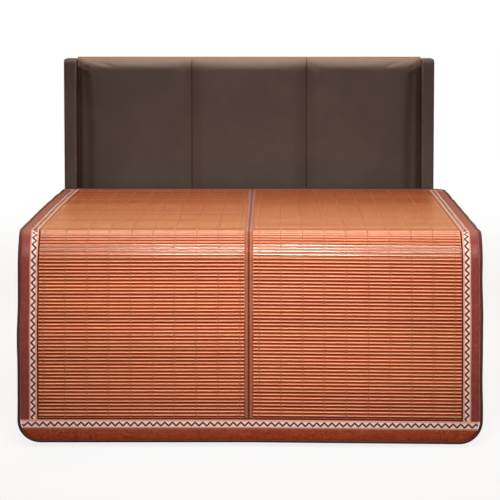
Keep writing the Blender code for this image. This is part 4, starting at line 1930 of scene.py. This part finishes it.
@dataclass(frozen=True)
class Stuffing:
    """How a padded cover is blown up by Blender's cloth simulation."""

    pressure: float = 4.0
    frames: int = 20
    cap: float = 5.0 * MM
    tension: float = 15.0
    bending: float = 0.5

    def swell(self, surface: Surface, held: Array) -> None:
        """Blow a surface up in place, holding some of its points.

        Each point moves as in the simulation, but no further than the cap.

        Args:
            surface: The closed cover, a little smaller than the finished pad.
            held: True at the points that stay where they are.
        """
        scene = bpy.context.scene
        trial = surface.mesh("cover_trial", 180.0)
        pins = trial.vertex_groups.new(name="held")
        pins.add(np.flatnonzero(held).tolist(), 1.0, "REPLACE")
        cloth = trial.modifiers.new("cover", "CLOTH")
        settings = cloth.settings
        settings.quality = 6
        settings.use_pressure = True
        settings.uniform_pressure_force = self.pressure
        settings.vertex_group_mass = pins.name
        settings.effector_weights.gravity = 0.0
        settings.tension_stiffness = settings.compression_stiffness = self.tension
        settings.bending_stiffness = self.bending
        cloth.collision_settings.use_collision = False
        cloth.point_cache.frame_start = 1
        cloth.point_cache.frame_end = self.frames
        for number in range(1, self.frames + 1):
            scene.frame_set(number)
        blown = trial.evaluated_get(bpy.context.evaluated_depsgraph_get()).data
        ends = np.empty(3 * len(blown.vertices), dtype=np.float32)
        blown.vertices.foreach_get("co", ends)
        move = ends.reshape(-1, 3).astype(float) - surface.points
        length = np.linalg.norm(move, axis=1, keepdims=True)
        LOG.info("cover moved %.1f mm at most", float(length.max()) / MM)
        surface.points = surface.points + move * np.minimum(1.0, self.cap / np.maximum(length, 1e-9))
        mesh = trial.data
        bpy.data.objects.remove(trial)
        bpy.data.meshes.remove(mesh)
        scene.frame_set(1)


@dataclass
class Mattress:
    """The mattress: a knit cover with padded sides and two sewn tape edges."""

    bed: BedPlan
    tape_radius: float = 4.0 * MM
    tape_sink: float = 2.6 * MM
    tape_inset: float = 0.046
    channels: int = 3
    channel_depth: float = 4.0 * MM
    wall_depth: float = 12.0 * MM
    ripple_height: float = 0.5 * MM
    ripple_period: float = 0.052

    def cover(self) -> Surface:
        """The cover. Its side walls are drawn in along level seams between soft rolls."""
        bed = self.bed
        half = bed.mattress_width / 2.0
        low = (bed.centre_x - half, bed.foot_y, bed.base_top + bed.seam)
        high = (bed.centre_x + half, bed.head_y, bed.mattress_top)
        edge = bed.mattress_edge
        surface = slab(
            low,
            high,
            (edge, bed.foot_radius, edge, edge),
            bed.side_rounding,
            8,
            (60, 10, 60, 10),
            inner=26,
            crosswise=24,
        )
        points = surface.points
        from_side = np.minimum(points[:, 0] - low[0], high[0] - points[:, 0])
        on_wall = 1.0 - ease(from_side, 0.0, self.wall_depth)
        level = (points[:, 2] - low[2]) / (high[2] - low[2])
        within = ease(level, 0.10, 0.22) * (1.0 - ease(level, 0.78, 0.90))
        rolls = np.abs(np.sin(math.pi * (level - 0.16) / 0.68 * self.channels))
        pull = self.channel_depth * within * (1.0 - rolls ** 0.7)
        ripple = np.sin(points[:, 1] * TURN / self.ripple_period + level * 9.0)
        pull += self.ripple_height * within * ripple
        inwards = np.where(points[:, 0] < bed.centre_x, 1.0, -1.0)
        points[:, 0] += inwards * on_wall * np.maximum(pull, 0.0)
        return surface

    def tapes(self) -> Surface:
        """The tape edges: thin rolls round the mattress near its top and bottom.

        Each is a circle carried round the mattress's plan at one height, sunk a little
        into the cover.
        """
        bed = self.bed
        half = bed.mattress_width / 2.0
        parts = []
        for z in (bed.mattress_top - self.tape_inset, bed.base_top + self.tape_inset):
            over = max(z - bed.bend_z, 0.0)
            foot = bed.bend_y - math.sqrt(bed.foot_radius**2 - over**2)
            ring = rounded_ring(
                (bed.centre_x - half, foot),
                (bed.centre_x + half, bed.head_y),
                (bed.side_rounding,) * 4,
                np.array([self.tape_sink]),
                8,
                (40, 50, 40, 50),
            )[0]
            heading = unit(np.roll(ring, -1, axis=0) - np.roll(ring, 1, axis=0))
            aside = np.stack([heading[:, 1], -heading[:, 0]], axis=-1)
            angle = np.arange(8) * math.pi / 4.0
            reach = (self.tape_radius * np.cos(angle))[None, :, None]
            flat = ring[:, None, :] + aside[:, None, :] * reach
            height = np.broadcast_to(z + self.tape_radius * np.sin(angle), flat.shape[:2])
            rings = np.concatenate([flat, height[..., None]], axis=-1)[None]
            around = np.linspace(0.0, TURN * self.tape_radius, 9)
            parts.append(Surface.tubes(rings, around, round_length(*ring.T), looped=True))
        return Surface.joined(parts)

    def build(self) -> None:
        """Make the cover and its tapes."""
        cover = finish_piece(
            self.cover(), MATTRESS_COVER, KnitTicking("mattress_knit"), ["mattress"]
        )
        finish_piece(
            self.tapes(),
            "mattress_tapes",
            WovenCloth("tape_cloth", paint(222, 212, 196), paint(180, 166, 146), yarn=1.6 * MM),
        )


@dataclass
class Base:
    """The upholstered base and the boards of its plinth."""

    bed: BedPlan
    seam_depth: float = 3.0 * MM
    welt_radius: float = 2.6 * MM
    welt_inset: float = 16.0 * MM
    wall_depth: float = 12.0 * MM
    fields: int = 3

    @property
    def low(self) -> tuple[float, float, float]:
        """The upholstery's lowest corner."""
        bed = self.bed
        left, foot = bed.centre_x - bed.base_width / 2.0, bed.foot_y + bed.base_foot_inset
        return (left, foot, bed.plinth_height + bed.seam)

    @property
    def high(self) -> tuple[float, float, float]:
        """The upholstery's highest corner."""
        bed = self.bed
        return (bed.centre_x + bed.base_width / 2.0, bed.wing_front - bed.seam, bed.base_top)

    def upholstery(self) -> Surface:
        """The leather base, drawn in at the seams that part each face into equal fields.

        With t as the share of the way along a face, a point is drawn in by the seam's
        depth times 1 - sqrt(|sin(fields * pi * t)|).
        """
        bed = self.bed
        surface = slab(
            self.low,
            self.high,
            (bed.base_edge,) * 4,
            bed.base_edge - 1e-5,
            5,
            (60, 12, 60, 12),
            inner=10,
            crosswise=60,
        )
        points = surface.points
        low, high = np.array(self.low), np.array(self.high)
        share = (points - low) / (high - low)
        soft = ease(share[:, 2], 0.0, 0.12) * (1.0 - ease(share[:, 2], 0.88, 1.0))
        for axis, along in ((0, 1), (1, 0)):
            plump = np.sqrt(np.abs(np.sin(self.fields * math.pi * share[:, along])))
            pull = self.seam_depth * soft * (1.0 - plump)
            from_face = np.minimum(points[:, axis] - low[axis], high[axis] - points[:, axis])
            way = np.where(share[:, axis] < 0.5, 1.0, -1.0)
            points[:, axis] += way * pull * (1.0 - ease(from_face, 0.0, self.wall_depth))
        return surface

    def welts(self) -> Surface:
        """The upright piped seams: a circle carried up each seam, its ends sunk in."""
        low, high = self.low, self.high
        sunk = self.seam_depth - 0.4 * MM
        places = []
        for k in range(1, self.fields):
            x = low[0] + (high[0] - low[0]) * k / self.fields
            y = low[1] + (high[1] - low[1]) * k / self.fields
            places += [(x, low[1] + sunk), (low[0] + sunk, y), (high[0] - sunk, y)]
        feet = np.array(places)
        share = np.linspace(0.0, 1.0, 25)
        z = low[2] + self.welt_inset + (high[2] - low[2] - 2.0 * self.welt_inset) * share
        angle = np.arange(8) * math.pi / 4.0
        taper = np.minimum(1.0, 0.2 + 12.0 * np.minimum(share, 1.0 - share))
        spokes = np.stack([np.cos(angle), np.sin(angle)], axis=-1)
        circle = self.welt_radius * taper[:, None, None] * spokes
        flat = feet[:, None, None, :] + circle[None]
        height = np.broadcast_to(z[None, :, None, None], flat.shape[:3] + (1,))
        around = np.linspace(0.0, TURN * self.welt_radius, 9)
        surface = Surface.tubes(np.concatenate([flat, height], axis=-1), around, z)
        surface.values["wear_and_highlight"] = np.full(len(surface.points), 0.3)
        return surface

    def build(self) -> None:
        """Make the base and the plinth."""
        leather = Leather("base_leather")
        base = finish_piece(
            self.upholstery(), "base_upholstery", leather, ["bed_base"]
        )
        finish_piece(
            self.welts(), "base_welts", leather, sharp_degrees=ROUND_DEGREES
        )
        bed = self.bed
        half = bed.base_width / 2.0 - bed.plinth_inset
        foot = bed.foot_y + bed.base_foot_inset + bed.plinth_inset
        head = bed.wing_front - bed.seam - bed.plinth_inset
        boards = slab(
            (bed.centre_x - half, foot, 0.0),
            (bed.centre_x + half, head, bed.plinth_height),
            (3.0 * MM,) * 4,
            2.9 * MM,
            3,
            (8, 2, 8, 2),
        )
        finish_piece(boards, "plinth_boards", StainedBoard("stained_board"), ["plinth"])


@dataclass
class Headboard:
    """The headboard: three leather panels on a board between two leather wings."""

    bed: BedPlan
    roll_height: float = 0.052
    roll_depth: float = 0.032
    outer_round: float = 0.022
    seam_round: float = 0.0035
    crown: float = 0.0035
    bottom_round: float = 0.012
    held_back: float = 8.0 * MM
    held_side: float = 2.0 * MM
    held_foot: float = 4.0 * MM
    stuffing: Stuffing = Stuffing()

    def panel(self, place: int) -> Surface:
        """One padded panel.

        The outline in y and z has a large oval roll at its upper front. It is carried
        across x; towards a seam or the outer edge its thickness shrinks along a circle,
        and its front swells by crown * (1 - X^2) * (1 - Z^2).

        Args:
            place: 0, 1 or 2 from left to right.

        Returns:
            The panel's surface.
        """
        bed = self.bed
        half = bed.headboard_width / 2.0 - bed.wing_width - bed.seam
        width = 2.0 * half / 3.0
        low = bed.centre_x - half + place * width + bed.seam / 2.0
        high = low + width - bed.seam
        front = bed.wing_front + bed.panel_recess
        back = front + bed.panel_thickness
        bottom, top = bed.plinth_height, bed.headboard_top

        left_round = self.outer_round if place == 0 else self.seam_round
        right_round = self.outer_round if place == 2 else self.seam_round
        turn = np.linspace(0.0, 1.0, 9)
        x = np.concatenate(
            [
                low + left_round * (1.0 - np.cos(turn * math.pi / 2.0)),
                np.linspace(low + left_round, high - right_round, 46)[1:-1],
                (high - right_round * (1.0 - np.cos(turn * math.pi / 2.0)))[::-1],
            ]
        )
        near_left = np.clip((x - low) / left_round, 0.0, 1.0)
        near_right = np.clip((high - x) / right_round, 0.0, 1.0)
        fall = left_round * (1.0 - np.sqrt(1.0 - (1.0 - near_left) ** 2))
        fall += right_round * (1.0 - np.sqrt(1.0 - (1.0 - near_right) ** 2))

        angle = np.linspace(0.0, math.pi / 2.0, 15)
        roll_y = front + self.roll_depth * (1.0 - np.sin(angle))
        roll_z = top - self.roll_height * (1.0 - np.cos(angle))
        face_z = np.linspace(roll_z[-1], bottom + self.bottom_round, 96)[1:-1]
        low_angle = np.linspace(0.0, math.pi / 2.0, 6)
        foot_y = front + self.bottom_round * (1.0 - np.cos(low_angle))
        foot_z = bottom + self.bottom_round * (1.0 - np.sin(low_angle))
        ring_y = np.concatenate([[back, back], roll_y, np.full_like(face_z, front), foot_y])
        ring_z = np.concatenate([[bottom, top], roll_z, face_z, foot_z])

        across = np.clip(2.0 * (x - low) / (high - low) - 1.0, -1.0, 1.0)
        upward = np.clip(2.0 * (ring_z - bottom) / (top - bottom) - 1.0, -1.0, 1.0)
        facing = np.clip((back - ring_y) / bed.panel_thickness, 0.0, 1.0)
        swell = self.crown * (1.0 - np.abs(across[:, None]) ** 4) * (1.0 - np.abs(upward) ** 6)
        depth = (back - ring_y)[None, :] - (fall[:, None] + self.crown - swell) * facing
        lowered = fall[:, None] * ease(ring_z, top - 0.06, top)[None, :] * (ring_y < back)[None, :] * 0.5
        y = back - np.maximum(depth, 0.0)
        points = np.stack(np.broadcast_arrays(x[:, None], y, ring_z[None, :] - lowered), axis=-1)
        surface = Surface.tubes(points[None], round_length(ring_y, ring_z), x - low)
        # Painted highlight: the top roll takes the lighter leather colour, as if lit from above.
        painted_roll_highlight = ease(ring_z, top - self.roll_height, top) * (ring_y < back)
        surface.values["wear_and_highlight"] = np.broadcast_to(painted_roll_highlight, y.shape).ravel().copy()
        return surface

    def wing(self, side: Side) -> Surface:
        """One upright wing, with a rounded upper front corner and softened edges."""
        bed = self.bed
        inner = bed.centre_x + side.value * (bed.headboard_width / 2.0 - bed.wing_width)
        outer = bed.centre_x + side.value * bed.headboard_width / 2.0
        edge = bed.wing_edge
        return slab(
            (min(inner, outer), bed.wing_front, 0.0),
            (max(inner, outer), bed.back_y, bed.headboard_top - bed.wing_drop),
            (edge + 1.0 * MM, bed.wing_corner, edge + 1.0 * MM, edge + 1.0 * MM),
            edge,
            6,
            (12, 60, 12, 60),
            inner=4,
            crosswise=6,
        )

    def back(self) -> Surface:
        """The board behind the panels."""
        bed = self.bed
        half = bed.headboard_width / 2.0 - bed.wing_width - bed.seam
        front = bed.wing_front + bed.panel_recess + bed.panel_thickness + bed.seam
        return slab(
            (bed.centre_x - half, front, 0.0),
            (bed.centre_x + half, bed.back_y, bed.headboard_top - bed.back_drop),
            (3.0 * MM,) * 4,
            2.9 * MM,
            3,
            (4, 20, 4, 20),
            crosswise=12,
        )

    def build(self) -> None:
        """Make the panels, the wings and the board."""
        for place, word in enumerate(("left", "centre", "right")):
            surface = self.panel(place)
            x, y, z = surface.points.T
            across = np.abs(x - (x.min() + x.max()) / 2.0)
            held = (y > y.max() - self.held_back) | (across > across.max() - self.held_side)
            held |= z < self.bed.plinth_height + self.held_foot
            self.stuffing.swell(surface, held)
            panel = finish_piece(
                surface,
                f"panel_cushion_{word}",
                # The panels' lighter top roll is a smooth painted highlight.
                Leather("panel_leather", wear_and_highlight_share=0.62, patchiness=0.12),
                [f"headboard_panel_{word}"],
            )
        for side in Side:
            finish_piece(
                self.wing(side),
                f"wing_leather_{side.word}",
                # The wings' lighter edges are partly wear and partly painted highlight.
                Leather("wing_leather", wear_and_highlight_share=0.25),
                [f"headboard_wing_{side.word}"],
            )
        finish_piece(
            self.back(), "back_board", StainedBoard("stained_board"), ["headboard_back"]
        )


# The studio


@dataclass(frozen=True)
class SoftBox:
    """A rectangular soft light, which the camera doesn't see.

    It hangs at one point and faces another. size is its width and height, and spread
    is how wide its beam is, in degrees.
    """

    name: str
    at: Point
    towards: Point
    size: tuple[float, float]
    watts: float
    spread: float = 180.0

    def build(self) -> bpy.types.Object:
        """Hang the light, tilted by the arc cosine of its fall and turned to its heading.

        Returns:
            The light object.
        """
        data = bpy.data.lights.new(self.name, "AREA")
        data.shape = "RECTANGLE"
        data.size, data.size_y = self.size
        data.energy = self.watts
        data.spread = math.radians(self.spread)
        box = bpy.data.objects.new(self.name, data)
        box.visible_camera = False
        bpy.context.scene.collection.objects.link(box)
        x, y, z = unit(np.array(self.towards, float) - np.array(self.at, float))
        box.location = self.at
        box.rotation_euler = (math.acos(-z), 0.0, math.atan2(x, -y) + math.pi)
        return box


@dataclass
class Studio:
    """Floor, lights, surroundings and camera."""

    camera_at: tuple[float, float, float] = (0.06242, -9.375, 1.48657)
    yaw: float = -0.00764
    pitch: float = 0.10073
    lens: float = 187.83
    floor_half: float = 10.0
    floor_cells: int = 8
    floor_gap: float = 0.2 * MM
    key: SoftBox = SoftBox("key_box", (0.0, -1.58, 1.05), (0.0, -1.0, 0.66), (2.4, 0.3), 3.6, 110.0)
    top: SoftBox = SoftBox("top_box", (0.0, 0.5, 2.6), (0.0, 0.1, 0.6), (2.2, 1.2), 29.0)
    glints: tuple[tuple[float, float], ...] = ((0.21, 0.42), (-0.41, 0.16), (-0.09, 0.06), (0.87, 0.08))
    glint_watts: float = 15.0
    glint_spread: float = 40.0
    front_glow: float = 0.02
    sky_glow: float = 0.12
    back_glow: float = 1.15
    side_glow: float = 0.55
    white: Color = paint(255, 255, 255)
    warm: Color = paint(255, 206, 146)

    def floor(self) -> Piece:
        """A flat floor under the bed."""
        half, row = self.floor_half, self.floor_cells + 1
        axis = np.linspace(-half, half, row)
        x, y = np.meshgrid(axis, axis, indexing="ij")
        points = np.stack([x, y, np.full_like(x, -self.floor_gap)], axis=-1).reshape(-1, 3)
        i, j = np.meshgrid(np.arange(row - 1), np.arange(row - 1), indexing="ij")
        first = (i * row + j).ravel()
        faces = np.stack([first, first + row, first + row + 1, first + 1], axis=-1)
        uv = np.zeros((len(faces), 4, 2))
        floor = Surface(points, [(faces, uv)]).mesh("studio_floor", 30.0)
        floor.data.materials.append(PaleFloor("studio_floor").material())
        return floor

    def lights(self) -> None:
        """Hang the key over the foot, the top box, and the boxes that glint on the bend."""
        self.key.build()
        self.top.build()
        for number, (x, width) in enumerate(self.glints):
            SoftBox(
                f"glint_box_{number}",
                (x, -4.6, 3.1),
                (x, -1.0, 0.6),
                (width, 0.5),
                self.glint_watts * width,
                self.glint_spread,
            ).build()

    def surroundings(self) -> None:
        """White for the camera; for light, bright above and dim in front."""
        world = bpy.data.worlds.new("studio")
        bpy.context.scene.world = world
        world.use_nodes = True
        graph = Graph(world.node_tree)
        x, y, z = graph.split(graph.wire("ShaderNodeTexCoord", "Generated"))
        behind = z.rise(0.0, 0.3) * y.rise(0.0, 0.8)
        beside = abs(x).rise(0.45, 0.95) * z.rise(-0.1, 0.2)
        glow = self.front_glow + z.rise(0.1, 0.9) * self.sky_glow
        glow = glow + behind * self.back_glow + beside * self.side_glow
        seen = graph.wire("ShaderNodeLightPath", "Is Camera Ray")
        tint = graph.mix(behind * (1.0 - seen), self.white, self.warm)
        strength = glow * (1.0 - seen) + seen
        background = graph.node("ShaderNodeBackground", None, {"Color": tint, "Strength": strength})
        graph.node("ShaderNodeOutputWorld", None, {"Surface": background.outputs[0]})

    def camera(self) -> None:
        """The camera at the photograph's place and angle."""
        data = bpy.data.cameras.new("view")
        data.lens = self.lens
        data.sensor_width = 36.0
        data.clip_end = 200.0
        camera = bpy.data.objects.new("view", data)
        bpy.context.scene.collection.objects.link(camera)
        camera.location = self.camera_at
        camera.rotation_euler = (math.pi / 2.0 - self.pitch, 0.0, -self.yaw)
        bpy.context.scene.camera = camera

    def build(self) -> None:
        """Set up the whole studio."""
        self.floor()
        self.lights()
        self.surroundings()
        self.camera()
        bpy.context.scene.view_settings.view_transform = "Standard"


def main() -> None:
    """Build the bed, the mat and the studio in order."""
    bed = BedPlan()
    lie = MatLie(MatPlan(), bed)
    Mattress(bed).build()
    Base(bed).build()
    Headboard(bed).build()
    for side in Side:
        SlatPanel(lie, side).build()
    Trim(lie).build()
    Studio().build()


if __name__ == "__main__":
    main()
